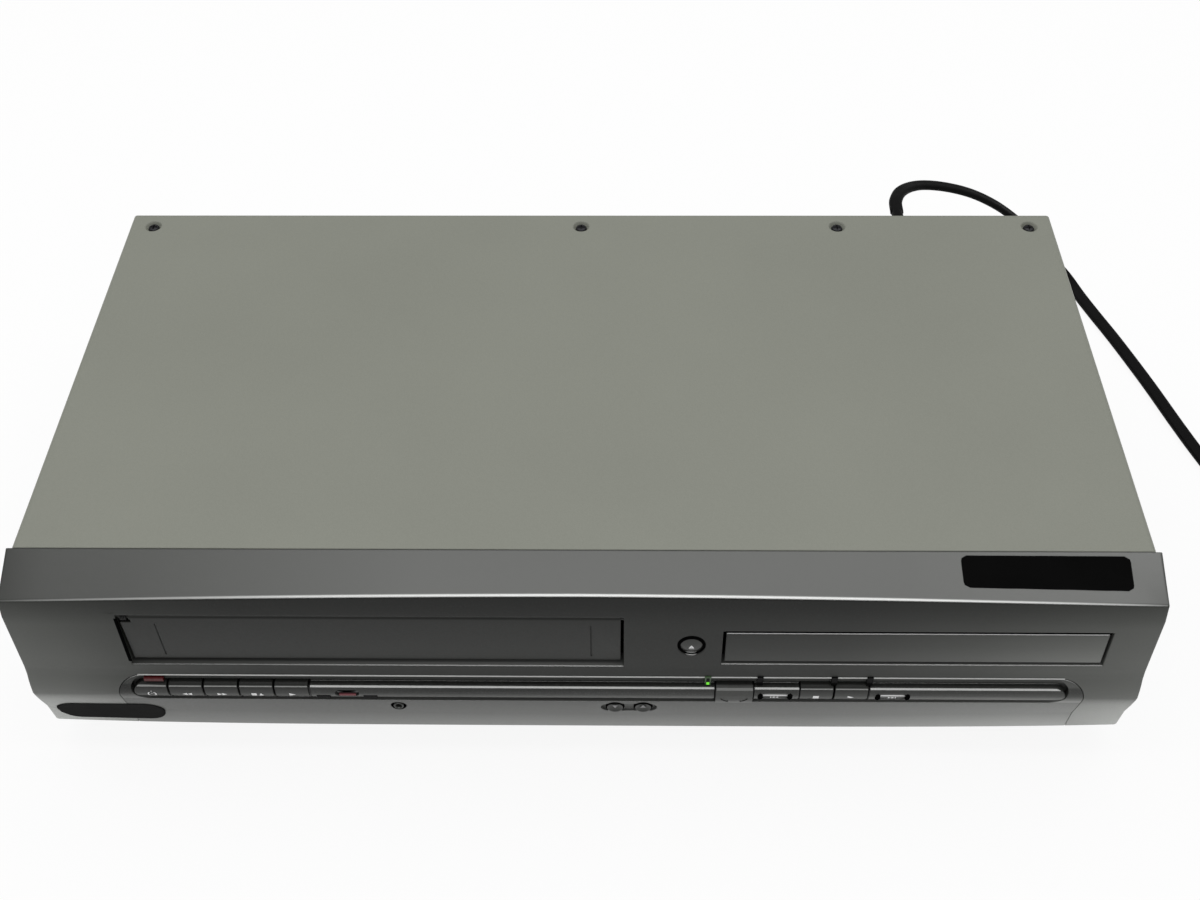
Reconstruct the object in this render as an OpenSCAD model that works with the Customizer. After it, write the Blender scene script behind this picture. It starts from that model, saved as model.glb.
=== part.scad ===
// Combined disc player and video cassette recorder, built as separate pieces that move as the real ones do.
// X runs to the right across the front, Y runs to the rear, Z runs up from the table.

/* [Case] */
// Width of the painted steel cover
cover_w = 431; // [431:1:445]
// Depth of the cover, from the bezel joint to its rear edge
cover_d = 202; // [202:1:230]
// Height of the cover's top above the underside of the pan
body_h = 89; // [89:1:100]
// Thickness of the steel sheet
sheet_t = 0.8; // [0.6:0.1:1]
// Outer bend radius of the cover's long edges
bend_r = 2; // [1.5:0.25:3]
// Height of the feet
foot_h = 10; // [6:1:14]
// Diameter of the feet
foot_d = 26; // [18:1:32]
// Clearance between case parts that nest
case_gap = 0.3; // [0.2:0.05:0.4]
// Head diameter of the cover screws
screw_d = 5.2; // [4.6:0.1:6]
// Vent slots on each side of the cover
vent_count = 12; // [6:1:14]

/* [Front moulding] */
// How far the bezel is wider than the cover on each side
bezel_out = 2; // [1:0.5:3]
// Distance from the joint to the foremost point of the front
bezel_d = 25.8; // [24:0.2:30]
// Drop of the visor's front edge below the cover, at the middle
visor_drop = 2.1; // [1.5:0.1:4]
// Extra drop of the visor's front edge towards the ends
visor_arch = 5.6; // [3:0.1:6]
// Wall thickness of the front mouldings
wall = 2.4; // [1.8:0.1:2.8]
// Gap between the bezel and the lower panel
panel_gap = 0.3; // [0.2:0.05:0.5]
// Top edge of the lower panel above the pan
panel_h = 40; // [39.6:0.1:41]
// Corner radius of the lower panel
panel_r = 11; // [6:0.5:13]

/* [Cassette door] */
// Width of the cassette slot
slot_w = 190.6; // [190:0.2:194]
// Height of the cassette slot
slot_h = 29.2; // [29:0.2:30]
// Lower edge of the cassette slot above the pan
slot_z = 46.2; // [46:0.2:46.6]
// Thickness of the door panel
flap_t = 2; // [1.6:0.1:2.4]
// Gap between the door's ends and the slot
flap_gap = 1.2; // [0.6:0.1:1.6]

/* [Disc drawer] */
// Width of the drawer's front door
door_w = 143.6; // [143:0.2:146]
// Height of the drawer's front door
door_h = 17.2; // [16:0.2:17.6]
// Gap between the drawer's door and its slot
door_gap = 1.3; // [0.6:0.1:1.5]
// Diameter of the disc that the drawer holds
disc_d = 120; // [118:1:121]

/* [Keys] */
// Gap between neighbouring keys
key_gap = 0.8; // [0.5:0.1:1]
// Gap between a key and its window
key_slack = 0.35; // [0.3:0.05:0.45]
// How far a key goes in
key_travel = 0.8; // [0.5:0.1:0.9]
// Diameter of the round open and close key
eject_d = 8.4; // [7:0.2:9]
// Diameter of the channel keys
channel_d = 6.2; // [5:0.2:6.6]

/* [Tape deck] */
// Thickness of the deck's steel plate
deck_t = 1.6; // [1.2:0.1:2]
// Diameter of the head drum
drum_d = 62; // [58:1:62]
// Tilt of the head drum, in degrees
drum_tilt = 5; // [3:0.5:6]
// Diameter of the reel tables
reel_d = 40; // [34:1:44]
// Distance between the two reel centres
reel_pitch = 92; // [90:1:94]

/* [Disc drive] */
// Module of the drawer's rack and gear teeth
tray_module = 1.5; // [1.5:0.1:1.5]
// Teeth of the drawer's drive gear
tray_teeth = 16; // [16:1:16]
// Thickness of the turntable
platter_t = 2.5; // [2:0.1:3]
// Diameter of the turntable
platter_d = 29; // [26:1:30]

/* [Back panel] */
// Diameter of each phono socket's ring
phono_d = 8.4; // [7.6:0.2:9]
// Spacing of the phono sockets
phono_pitch = 14; // [13:0.5:15]
// Length of the aerial sockets beyond the panel
aerial_out = 5.2; // [4:0.2:8]

/* [Cord] */
// Width of the flat twin cord
cord_w = 6.6; // [5:0.2:8]
// Length of the strain relief outside the panel
relief_l = 35.5; // [24:0.5:40]
// Mean diameter of the wound part of the cord
coil_d = 72; // [66:1:78]

/* [Hidden] */
$fn = 48;
eps = 0.01;

// Case, measured from the joint between bezel and cover and from the underside of the pan
back_gap = 2.8;                                   // back panel's recess inside the cover's rear edge
joint_y = bezel_d - (bezel_d + cover_d + aerial_out) / 2;
inner_w = cover_w - 2 * sheet_t - 2 * case_gap;   // width inside the cover
back_y = cover_d - back_gap;                      // outer face of the back panel
pan_top = sheet_t;
bezel_w = cover_w + 2 * bezel_out;

// Front section, measured from its foremost point
nose_y = -bezel_d;
foot_line = 2;                                    // lower edge of the front
face_lean = 0.0567;                               // the face leans back by this much per unit of height
face_low_h = 44;
visor_r = 1.4;
function face_y(h) = nose_y + 2.8 + face_lean * (h - face_low_h);

function arc(centre, r, a0, a1, n) =
  [for (i = [0:n]) let (a = a0 + (a1 - a0) * i / n) centre + r * [cos(a), sin(a)]];

// The front's outline at x, from the joint over the visor, down the face and under the foot line
function front_line(x) =
  let (s = min(1, abs(x) / (bezel_w / 2)),
       mid = 1 - s * s,
       edge_h = body_h - visor_drop - visor_arch * pow(s, 1.6),
       edge_y = nose_y + 5.8 + 0.8 * s * s,
       centre = [edge_y + visor_r * 0.7, edge_h - visor_r * 0.7])
  concat(
    [[0, body_h]],
    arc(centre, visor_r, 100, 180, 4),
    [[face_y(74), 74],
     [face_y(face_low_h), face_low_h],
     [nose_y + 2.2, 40], [nose_y + 1.3, 37], [nose_y + 0.6, 34], [nose_y, 30], [nose_y + 0.3, 28],
     [nose_y + 2 - 1.2 * mid, 21.5 + 2.3 * mid],
     [nose_y + 4.3 - 1.8 * mid, 14],
     [nose_y + 4.2 + 1.9 * pow(s, 4), foot_line],
     [0, foot_line]]);

function side_normal(a, b) = [a[1] - b[1], b[0] - a[0]] / norm(b - a);
function inset(line, w) =
  [for (i = [0:len(line) - 1])
    line[i] + w * side_normal(line[max(0, i - 1)], line[min(len(line) - 1, i + 1)])];

// Stations along the front, closer at the rounded ends, each with the inset of its outline
front_parts = 24;
end_r = 1.2;
function stations(half, r) =
  concat([[-half, r], [-half + 0.3 * r, 0.3 * r]],
         [for (i = [0:front_parts]) [(half - r) * (2 * i / front_parts - 1), 0]],
         [[half - 0.3 * r, 0.3 * r], [half, r]]);

module loft(xs, outlines) {
  n = len(outlines[0]);
  last = len(xs) - 1;
  points = [for (i = [0:last], p = outlines[i]) [xs[i], p[0], p[1]]];
  sides = [for (i = [0:last - 1], j = [0:n - 1])
    let (a = i * n + j, b = i * n + (j + 1) % n)
    each [[a, b + n, b], [a, a + n, b + n]]];
  polyhedron(points, concat(sides, [[for (j = [0:n - 1]) j]], [[for (j = [n - 1:-1:0]) last * n + j]]),
             convexity = 10);
}

// Solid front form, grown outwards by lift
module front_solid(lift = 0) {
  places = stations(bezel_w / 2, end_r);
  loft([for (p = places) p[0]], [for (p = places) inset(front_line(p[0]), p[1] - lift)]);
}

// Hollow behind the front form, open to the rear
module front_hollow() {
  half = bezel_w / 2 - wall;
  xs = [for (i = [0:front_parts]) half * (2 * i / front_parts - 1)];
  keep = [0, 3, 6, 7, 10, 11, 13, 14, 15, 16];
  loft(xs, [for (x = xs)
    let (full = front_line(x), line = inset([for (k = keep) full[k]], wall), n = len(line))
    [for (i = [0:n - 1]) i == 0 || i == n - 1 ? [1, line[i][1]] : line[i]]]);
}

// Draws a shape given in X and height as a prism from y0 back to y1
module front_prism(y0, y1) {
  translate([0, y1, 0]) rotate([90, 0, 0]) linear_extrude(y1 - y0) children();
}

module stadium(x0, x1, h0, h1) {
  r = (h1 - h0) / 2;
  translate([x0 + r, h0]) square([x1 - x0 - 2 * r, 2 * r]);
  for (x = [x0 + r, x1 - r]) translate([x, h0 + r]) circle(r);
}

module box(low, high) {
  translate(low) cube(high - low);
}

module in_case() {
  translate([0, joint_y, foot_h]) children();
}

module rod(at, r, l, turn = [0, 0, 0]) {
  translate(at) rotate(turn) cylinder(r = r, h = l);
}

// Involute gear outline, with a little play between the teeth
function involute(base, t) = base * [cos(t) + t * PI / 180 * sin(t), sin(t) - t * PI / 180 * cos(t)];
function turned(p, a) = [p[0] * cos(a) - p[1] * sin(a), p[0] * sin(a) + p[1] * cos(a)];
module gear_2d(m, teeth, play) {
  pitch_r = m * teeth / 2;
  base = pitch_r * cos(20);
  root = pitch_r - 1.25 * m;
  tip = pitch_r + 0.8 * m;
  reach = sqrt(pow(tip / base, 2) - 1) * 180 / PI;
  pitch_a = tan(20) * 180 / PI - 20;
  half = 90 / teeth - play / 2 / pitch_r * 180 / PI + pitch_a;
  flank = concat([[root, 0]], [for (i = [0:4]) involute(base, reach * i / 4)]);
  polygon([for (k = [0:teeth - 1]) each concat(
    [for (p = flank) turned(p, 360 * k / teeth - half)],
    [for (i = [len(flank) - 1:-1:0]) turned([flank[i][0], -flank[i][1]], 360 * k / teeth + half)])]);
}

// Straight rack along +Y with its pitch line on x = 0 and teeth that reach towards +X
module rack_2d(m, count, play) {
  p = PI * m;
  lean = tan(20);
  half = p / 4 - play / 2;
  translate([-3.2 * m, -p / 2]) square([3.2 * m - 1.25 * m, count * p]);
  for (i = [0:count - 1])
    translate([0, i * p])
      polygon([[-1.25 * m - eps, -half - 1.25 * m * lean], [0.8 * m, -half + 0.8 * m * lean],
               [0.8 * m, half - 0.8 * m * lean], [-1.25 * m - eps, half + 1.25 * m * lean]]);
}

// Lower panel and its key strip
seat_y = nose_y + 8.3;                            // plane on which the lower panel seats
panel_x0 = -182.5;
panel_x1 = 195.9;
floor_y = nose_y + 3.3;                           // floor of the recess that the strip stands in
floor_t = 2;
strip_x0 = -176.3;
strip_x1 = 188.6;
strip_h0 = 26.6;
strip_h1 = 35.2;
strip_groove = 1.1;
window_h0 = strip_h0 + 0.1;
window_h1 = 36.2;
rib_x = [-102, -60, -15, 40, 142, 172];           // ribs that carry the panel on its seat
rib_t = 1.6;

// Keys: flange behind the recess floor, then a stem that reaches the switches
flange_y = floor_y + floor_t + 0.4;
flange_t = 1;
board_y = nose_y + 18.8;                          // front face of the front board
switch_t = 4;
plunger_t = 1.3;
stem_y = board_y - switch_t - plunger_t - 0.4 - key_travel;
key_h = (window_h0 + window_h1) / 2;
key_pitch = 13.9;
left_keys = 5;
disc_keys_x = 85.3;
disc_key_pitch = 13.6;
selector_x = 52.2;
selector_w = 14.8;
pill_h0 = 27.4;
pill_h1 = 32.2;
back_pill = [69.7, 81.7];
forward_pill = [115.6, 127.6];
record_pill = [-97.3, -87.7];
eject_at = [42, 58.8];
eject_tube_l = 4.6;
eject_root = face_y(eject_at[1]) + eject_tube_l + 0.4;
channel_at = [[12.95, 19.9], [24.1, 19.9]];
channel_recess = [7.3, 29.7, 16.5, 23.3];
jack_at = [-73.4, 20.4];
sensor = [-213.3, -169.5, 8.3, 17.4];
// Indicator lenses: [x0, x1, h0, h1, y of the lens face]
strip_lamps = [for (x = [49.1, 69.4, 98.2, 112]) [x - 1.1, x + 1.1, window_h1 + 0.3, panel_h - 0.4, floor_y - 0.9]];
power_lamp = [-171.4, -163.9, window_h1 + 0.4, window_h1 + 2.8, floor_y - 0.6];
bar_lamps = [for (x = [-102, -83.5]) [x - 2.7, x + 2.7, 27.8, 29.3, nose_y + 0.1]];
lamps = concat(strip_lamps, [power_lamp], bar_lamps);

// Cassette door
slot_x = -79;
slot_x0 = slot_x - slot_w / 2;
slot_x1 = slot_x + slot_w / 2;
slot_top = slot_z + slot_h;
hinge_r = 1.6;
hinge_y = face_y(slot_top) + hinge_r;
hinge_h = slot_top - hinge_r - 0.35;
flap_x0 = slot_x0 + flap_gap;
flap_x1 = slot_x1 - flap_gap;
flap_low = slot_z + 1.4;
pin_r = 1;
pin_play = 0.06;
spring_l = 3.6;

// Disc drawer door
disc_x = 126.8;
door_z = 49.2;
drawer_x0 = disc_x - door_w / 2 - door_gap;
drawer_x1 = disc_x + door_w / 2 + door_gap;
door_front = 0.3;                                 // how far the door sits behind the face

module panel_outline(grow) {
  r = panel_r + grow;
  low = -5;
  translate([panel_x0 - grow, low]) square([panel_x1 - panel_x0 + 2 * grow, panel_h + grow - r - low]);
  translate([panel_x0 - grow + r, low]) square([panel_x1 - panel_x0 + 2 * grow - 2 * r, panel_h + grow - low]);
  for (x = [panel_x0 - grow + r, panel_x1 + grow - r]) translate([x, panel_h + grow - r]) circle(r);
}

module recess_outline(grow) {
  stadium(strip_x0 - strip_groove - grow, strip_x1 + strip_groove + grow,
          strip_h0 - strip_groove - grow, panel_h - 0.2 + grow);
}

module along_x(x0, x1) {
  translate([x0, 0, 0]) rotate([90, 0, 90]) linear_extrude(x1 - x0) children();
}

// Convex section of the strip and of its keys, between two heights
module strip_section(h0, h1, back) {
  polygon([[back, h1], [floor_y - 0.4, h1], [nose_y + 1.1, strip_h1], [nose_y + 0.45, strip_h1 - 0.6], [nose_y, 31],
           [nose_y + 0.3, 28.8], [nose_y + 1.4, h0], [back, h0]]);
}

module lens_block(lamp, back) {
  box([lamp[0], lamp[4], lamp[2]], [lamp[1], back, lamp[3]]);
}

module sensor_outline() {
  stadium(sensor[0], sensor[1], sensor[2], sensor[3]);
}

module panel_windows() {
  x1 = strip_x0 + left_keys * key_pitch - key_gap + key_slack;
  translate([strip_x0 + 4, window_h0]) square([x1 - strip_x0 - 4, window_h1 - window_h0]);
  translate([strip_x0 + 4.75, key_h]) circle((window_h1 - window_h0) / 2);
  for (w = [[disc_keys_x - key_slack, disc_keys_x + 2 * disc_key_pitch - key_gap + key_slack],
            [selector_x - key_slack, selector_x + selector_w + key_slack]])
    translate([w[0], window_h0]) square([w[1] - w[0], window_h1 - window_h0]);
  for (p = [back_pill, forward_pill]) stadium(p[0], p[1], pill_h0, pill_h1);
  stadium(record_pill[0], record_pill[1], 28.7, 32.9);
}

// Block behind the leaning face, from which a slot's lip is cut
module lip_block(x0, x1, low, high, back) {
  cover_up = 1;
  along_x(x0, x1) polygon([[back, low], [back, high], [face_y(high) + cover_up, high], [face_y(low) + cover_up, low]]);
}

module front_bezel() {
  ring_t = 1.6;
  ring_top = body_h - sheet_t - case_gap;
  ring_l = 6;
  frame_t = 2.4;
  plate_t = 1.6;
  color([0.2, 0.2, 0.215]) in_case() {
    difference() {
      union() {
        difference() {
          front_solid();
          front_hollow();
        }
        // lugs of the door's hinge
        for (x = [slot_x0 - 4, slot_x1]) box([x, hinge_y - 1.3, hinge_h - 4], [x + 4, hinge_y + 3, hinge_h + 3]);
        // lip round the cassette slot
        difference() {
          lip_block(slot_x0 - plate_t, slot_x1 + plate_t, slot_z - plate_t, slot_top + plate_t, seat_y + plate_t);
          box([slot_x0, nose_y, slot_z], [slot_x1, 0, slot_top]);
        }
        // lip round the drawer slot
        difference() {
          lip_block(drawer_x0 - plate_t, drawer_x1 + plate_t, door_z - door_gap - plate_t,
                    door_z + door_h + door_gap + plate_t, seat_y);
          box([drawer_x0, nose_y, door_z - door_gap], [drawer_x1, 0, door_z + door_h + door_gap]);
        }
        // guide tube of the open and close key
        rod([eject_at[0], face_y(eject_at[1]) + 1, eject_at[1]], eject_d / 2 + 1.9, eject_tube_l - 1, [-90, 0, 0]);
      }
      front_prism(nose_y - 1, seat_y) panel_outline(panel_gap);
      front_prism(nose_y - 1, seat_y) sensor_outline();
      box([slot_x0, nose_y - 1, slot_z], [slot_x1, -8, slot_top]);
      box([drawer_x0, nose_y - 1, door_z - door_gap], [drawer_x1, -8, door_z + door_h + door_gap]);
      rod([slot_x0 - 3.7, hinge_y, hinge_h], pin_r + pin_play, slot_w + 7.4, [0, 90, 0]);
      rod([eject_at[0], nose_y, eject_at[1]], eject_d / 2 + 0.4, 20, [-90, 0, 0]);
      translate([eject_at[0], face_y(eject_at[1]) - 0.5, eject_at[1]])
        rotate([-90, 0, 0]) cylinder(r1 = eject_d / 2 + 1.5, r2 = eject_d / 2 + 0.4, h = 1.5);
    }
    // seat of the lower panel, with openings for the keys
    difference() {
      front_prism(seat_y, seat_y + plate_t) panel_outline(5.6);
      front_prism(seat_y - 1, seat_y + 3) difference() {
        translate([panel_x0 + 5, foot_line + 4]) square([panel_x1 - panel_x0 - 10, panel_h - foot_line - 6]);
        for (x = rib_x) translate([x - 2.5, 0]) square([5, panel_h + 1]);
      }
      front_prism(seat_y - 1, seat_y + 3) translate([-250, -10]) square([500, 10 + foot_line]);
    }
    // bosses that carry the front board
    for (x = [rib_x[0], rib_x[2], rib_x[3], rib_x[5]], h = [12, 36])
      rod([x, seat_y, h], 2.4, board_y - seat_y, [-90, 0, 0]);
    // rim that the cover slides over
    difference() {
      union() {
        box([-bezel_w / 2 + 1, -frame_t, foot_line], [bezel_w / 2 - 1, 0, body_h - 1]);
        box([-inner_w / 2, -frame_t, foot_line], [inner_w / 2, ring_l, ring_top]);
      }
      box([-inner_w / 2 + ring_t, -9, foot_line + ring_t], [inner_w / 2 - ring_t, 9, ring_top - ring_t]);
    }
    for (x = [-160, 0, 160]) box([x - 8, 1.5, pan_top], [x + 8, 5, foot_line + eps]);
  }
}

module control_panel() {
  dish_r = 3.2;
  color([0.26, 0.26, 0.275]) in_case() difference() {
    union() {
      difference() {
        intersection() {
          difference() {
            front_solid();
            difference() {
              front_hollow();
              for (x = rib_x) box([x - rib_t / 2, nose_y, 0], [x + rib_t / 2, 0, panel_h + 1]);
            }
          }
          front_prism(nose_y - 1, seat_y) panel_outline(0);
        }
        front_prism(nose_y - 1, floor_y) recess_outline(0);
        front_prism(nose_y - 1, floor_y) translate([strip_x0 + 7, panel_h - 5]) square([strip_x1 - strip_x0 - 14, 6]);
      }
      intersection() {
        front_prism(floor_y, floor_y + floor_t) recess_outline(1);
        front_prism(nose_y - 1, seat_y) panel_outline(0);
      }
      intersection() {
        along_x(strip_x0, strip_x1) strip_section(strip_h0, strip_h1, floor_y + 1);
        front_prism(nose_y - 1, floor_y + 1) stadium(strip_x0, strip_x1, strip_h0, strip_h1);
      }
      // ring behind the small round recess
      rod([jack_at[0], nose_y + 4, jack_at[1]], dish_r + 1, 3, [-90, 0, 0]);
    }
    front_prism(nose_y - 1, seat_y - eps) panel_windows();
    front_prism(nose_y - 1, seat_y + 1) sensor_outline();
    for (lamp = lamps) lens_block(lamp, floor_y + floor_t + 1);
    front_prism(nose_y - 1, floor_y) stadium(channel_recess[0], channel_recess[1], channel_recess[2], channel_recess[3]);
    for (c = channel_at) rod([c[0], nose_y, c[1]], channel_d / 2 + 0.5, 9, [-90, 0, 0]);
    rod([jack_at[0], nose_y, jack_at[1]], dish_r, 4.6, [-90, 0, 0]);
    rod([jack_at[0], nose_y, jack_at[1]], 1.2, 6, [-90, 0, 0]);
  }
}

module sensor_window() {
  color([0.03, 0.03, 0.035]) in_case() intersection() {
    front_solid(0.25);
    front_prism(nose_y - 1, nose_y + 6.4) sensor_outline();
  }
}

module status_lenses() {
  color([0.1, 0.45, 0.12]) in_case() for (lamp = strip_lamps) lens_block(lamp, floor_y + floor_t);
  color([0.3, 0.03, 0.03]) in_case() for (lamp = concat([power_lamp], bar_lamps)) lens_block(lamp, floor_y + floor_t);
}

module cassette_flap() {
  line_w = 0.5;
  color([0.17, 0.17, 0.18]) in_case() difference() {
    union() {
      difference() {
        rod([flap_x0, hinge_y, hinge_h], hinge_r, flap_x1 - flap_x0, [0, 90, 0]);
        box([flap_x0 - 1, hinge_y - 3, hinge_h - 2.2], [flap_x0 + spring_l, hinge_y + 3, hinge_h + 3]);
      }
      rod([slot_x0 - 3.4, hinge_y, hinge_h], pin_r, slot_w + 6.8, [0, 90, 0]);
      box([flap_x0, hinge_y - hinge_r, flap_low + 1], [flap_x1, hinge_y - hinge_r + flap_t, hinge_h - 2.2]);
      box([flap_x0 + spring_l + 0.5, hinge_y - hinge_r, hinge_h - 3], [flap_x1, hinge_y - hinge_r + flap_t, hinge_h]);
      // rounded lower edge
      rod([flap_x0, hinge_y - hinge_r + flap_t / 2, flap_low + 1], flap_t / 2, flap_x1 - flap_x0, [0, 90, 0]);
    }
    // two fine upright lines near the ends
    for (x = [flap_x0 + 12.5, flap_x1 - 11.5])
      box([x, hinge_y - 3, flap_low + 3], [x + line_w, hinge_y - hinge_r + 0.35, hinge_h - 3]);
  }
}

module flap_spring() {
  wire = 0.3;
  coils = 4;
  inner = pin_r + 0.2;
  pitch = 2 * wire;
  color([0.7, 0.7, 0.72]) in_case() {
    translate([flap_x0 + 0.3, hinge_y, hinge_h]) rotate([0, 90, 0]) rotate_extrude()
      polygon(concat([[inner, coils * pitch], [inner, 0]],
        [for (i = [0:coils - 1]) each [[inner + wire, i * pitch], [inner + 2 * wire, (i + 0.3) * pitch],
                                       [inner + 2 * wire, (i + 0.7) * pitch], [inner + wire, (i + 0.95) * pitch]]],
        [[inner + wire, coils * pitch]]));
    rod([flap_x0 + 0.3 + wire, hinge_y, hinge_h + inner + wire], wire * 0.7, 4.6, [-90, 0, 0]);
  }
}

module key_cap(x0, x1, h0, h1, back, round_left = false) {
  r = (h1 - h0) / 2;
  intersection() {
    along_x(x0, x1) strip_section(h0, h1, back);
    front_prism(nose_y - 1, back) union() {
      translate([round_left ? x0 + r : x0, h0]) square([x1 - x0 - (round_left ? r : 0), h1 - h0]);
      if (round_left) translate([x0 + r, h0 + r]) circle(r);
    }
  }
}

module key_stem(x0, x1, h0, h1, overhang) {
  x = (x0 + x1) / 2;
  h = (h0 + h1) / 2;
  box([x0 + 0.3, flange_y, h0 - overhang], [x1 - 0.3, flange_y + flange_t, h1 + overhang]);
  box([x - 2, flange_y, h - 2], [x + 2, stem_y, h + 2]);
}

module strip_key(x0, w, round_left = false) {
  h0 = window_h0 + key_slack;
  h1 = window_h1 - key_slack;
  in_case() {
    key_cap(x0, x0 + w, h0, h1, flange_y + eps, round_left);
    key_stem(x0, x0 + w, h0, h1, 1.4);
  }
}

module pill_key(pill, h0, h1) {
  slack = 0.6;
  in_case() {
    intersection() {
      along_x(pill[0], pill[1]) strip_section(strip_h0, strip_h1, flange_y + eps);
      front_prism(nose_y + 1.1, flange_y + eps) stadium(pill[0] + slack, pill[1] - slack, h0 + slack, h1 - slack);
    }
    key_stem(pill[0], pill[1], h0, h1, 1);
  }
}

module round_key(at, r, top, root) {
  dome = 14;
  in_case() translate([at[0], 0, at[1]]) {
    intersection() {
      rod([0, top, 0], r, root - top + eps, [-90, 0, 0]);
      translate([0, top + dome, 0]) sphere(dome);
    }
    rod([0, root, 0], r + 1.1, flange_t, [-90, 0, 0]);
    rod([0, root, 0], 2, stem_y - root, [-90, 0, 0]);
  }
}

module power_button() color([0.24, 0.24, 0.25]) strip_key(strip_x0, key_pitch - key_gap, true);
module rewind_button() color([0.24, 0.24, 0.25]) strip_key(strip_x0 + key_pitch, key_pitch - key_gap);
module fast_forward_button() color([0.24, 0.24, 0.25]) strip_key(strip_x0 + 2 * key_pitch, key_pitch - key_gap);
module stop_eject_button() color([0.24, 0.24, 0.25]) strip_key(strip_x0 + 3 * key_pitch, key_pitch - key_gap);
module vcr_play_button() color([0.24, 0.24, 0.25]) strip_key(strip_x0 + 4 * key_pitch, key_pitch - key_gap);
module record_button() color([0.5, 0.1, 0.1]) pill_key(record_pill, 28.7, 32.9);
module output_selector_button() color([0.24, 0.24, 0.25]) strip_key(selector_x, selector_w);
module skip_back_button() color([0.24, 0.24, 0.25]) pill_key(back_pill, pill_h0, pill_h1);
module dvd_stop_button() color([0.24, 0.24, 0.25]) strip_key(disc_keys_x, disc_key_pitch - key_gap);
module dvd_play_button() color([0.24, 0.24, 0.25]) strip_key(disc_keys_x + disc_key_pitch, disc_key_pitch - key_gap);
module skip_forward_button() color([0.24, 0.24, 0.25]) pill_key(forward_pill, pill_h0, pill_h1);
module open_close_button() color([0.24, 0.24, 0.25]) round_key(eject_at, eject_d / 2, face_y(eject_at[1]) - 0.3, eject_root);
module channel_down_button() color([0.24, 0.24, 0.25]) round_key(channel_at[0], channel_d / 2, floor_y - 0.8, flange_y + 0.3);
module channel_up_button() color([0.24, 0.24, 0.25]) round_key(channel_at[1], channel_d / 2, floor_y - 0.8, flange_y + 0.3);

// Case: screws sit in dimples of the cover and bite into the back panel's flange
dimple_depth = 1.6;
dimple_r = screw_d / 2 + 1.2;
flange_l = 14;
flange_top = body_h - dimple_depth - sheet_t;
screw_y = back_y - 5.3;
screw_x = [-(cover_w / 2 - 11.2), -3.8, 115.3, cover_w / 2 - 11.2];
screw_shank_r = 1.4;
pan_front = 1;
foot_x = cover_w / 2 - 45;
foot_ys = [20, cover_d - 32];
rubber_t = 1.6;
board_h = 4;                                      // boards stand on posts of this height
pcb_t = 1.6;
power_x1 = inner_w / 2 - 10.4;                    // right edge of the power supply board
power_x0 = power_x1 - 146;
main_x0 = -(inner_w / 2 - 40.4);
main_x1 = power_x0 - 10;
bead_x = inner_w / 2 - 14.4;
bead_ys = [60, 108];

// Rear sockets: [x, height] on the back panel, left group seen from the front
aerial_x = -(cover_w / 2 - 25.5);
aerial_at = [[aerial_x, 62], [aerial_x, 38]];
phono_x = -(cover_w / 2 - 50.5);
phono_h = 30;
phono_at = [for (i = [0:4], j = [0:1]) [phono_x + i * phono_pitch, phono_h + j * phono_pitch]];
block_x0 = phono_x - phono_pitch * 0.65;
block_x1 = phono_x + 4.65 * phono_pitch;
block_h0 = phono_h - phono_pitch * 0.65;
block_h1 = phono_h + phono_pitch * 1.65;
block_out = 2;
relief_at = [152, 64];
relief_hole_r = 5.4;

module chassis() {
  lip = 14;
  color([0.72, 0.73, 0.74]) in_case() {
    difference() {
      box([-inner_w / 2, pan_front, 0], [inner_w / 2, back_y - sheet_t, pan_top]);
      // vent slots under the boards
      for (x = [-150:30:-30], k = [0:6]) box([x, 120 + k * 9, -1], [x + 22, 123 + k * 9, 2]);
      for (x = [60:26:164], k = [0:4]) box([x, 150 + k * 8, -1], [x + 18, 153 + k * 8, 2]);
      for (x = [-foot_x, foot_x], y = foot_ys) rod([x, y, -1], 2, 3);
    }
    for (x = [-inner_w / 2, inner_w / 2 - sheet_t]) box([x, 8, 0], [x + sheet_t, back_y - sheet_t, lip]);
    // stiffening beads
    for (y = bead_ys) box([-bead_x, y, pan_top - eps], [bead_x, y + 6, pan_top + 0.8]);
    // posts for the boards
    for (x = [main_x0 + 9, main_x0 + 74, main_x1 - 8], y = [140, 187.5])
      rod([x, y, pan_top - eps], 3, board_h - pan_top + eps);
    for (x = [power_x1 - 138, power_x1 - 8], y = [152, 188])
      rod([x, y, pan_top - eps], 3, board_h - pan_top + eps);
  }
}

module feet() {
  color([0.08, 0.08, 0.085]) for (x = [-foot_x, foot_x], y = foot_ys)
    translate([x, joint_y + y, 0]) {
      rotate_extrude() difference() {
        polygon([[3, rubber_t], [foot_d / 2 - 0.6, rubber_t], [foot_d / 2, foot_h * 0.4], [foot_d / 2, foot_h - 0.8],
                 [foot_d / 2 - 0.8, foot_h], [0, foot_h], [0, foot_h - 2], [3, foot_h - 2.4]]);
        translate([foot_d / 2 - 0.2, foot_h * 0.62]) circle(0.6, $fn = 16);
      }
      rotate_extrude() polygon([[4.5, 0], [foot_d / 2 - 2, 0], [foot_d / 2 - 1.6, 0.4], [foot_d / 2 - 1.6, rubber_t],
                                [4.5, rubber_t]]);
      rod([0, 0, foot_h - eps], 1.9, pan_top + 1.2);
    }
}

// Cover shape without its hollow, from y0 to y1, shrunk by t on top and sides
module cover_form(y0, y1, t) {
  half = cover_w / 2 - t;
  top = body_h - t;
  r = bend_r - min(t, bend_r - 0.3);
  front_prism(y0, y1) {
    translate([-half, -20]) square([2 * half, top + 20 - r]);
    translate([-half + r, -20]) square([2 * half - 2 * r, top + 20]);
    for (x = [-half + r, half - r]) translate([x, top - r]) circle(r);
  }
}

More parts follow.
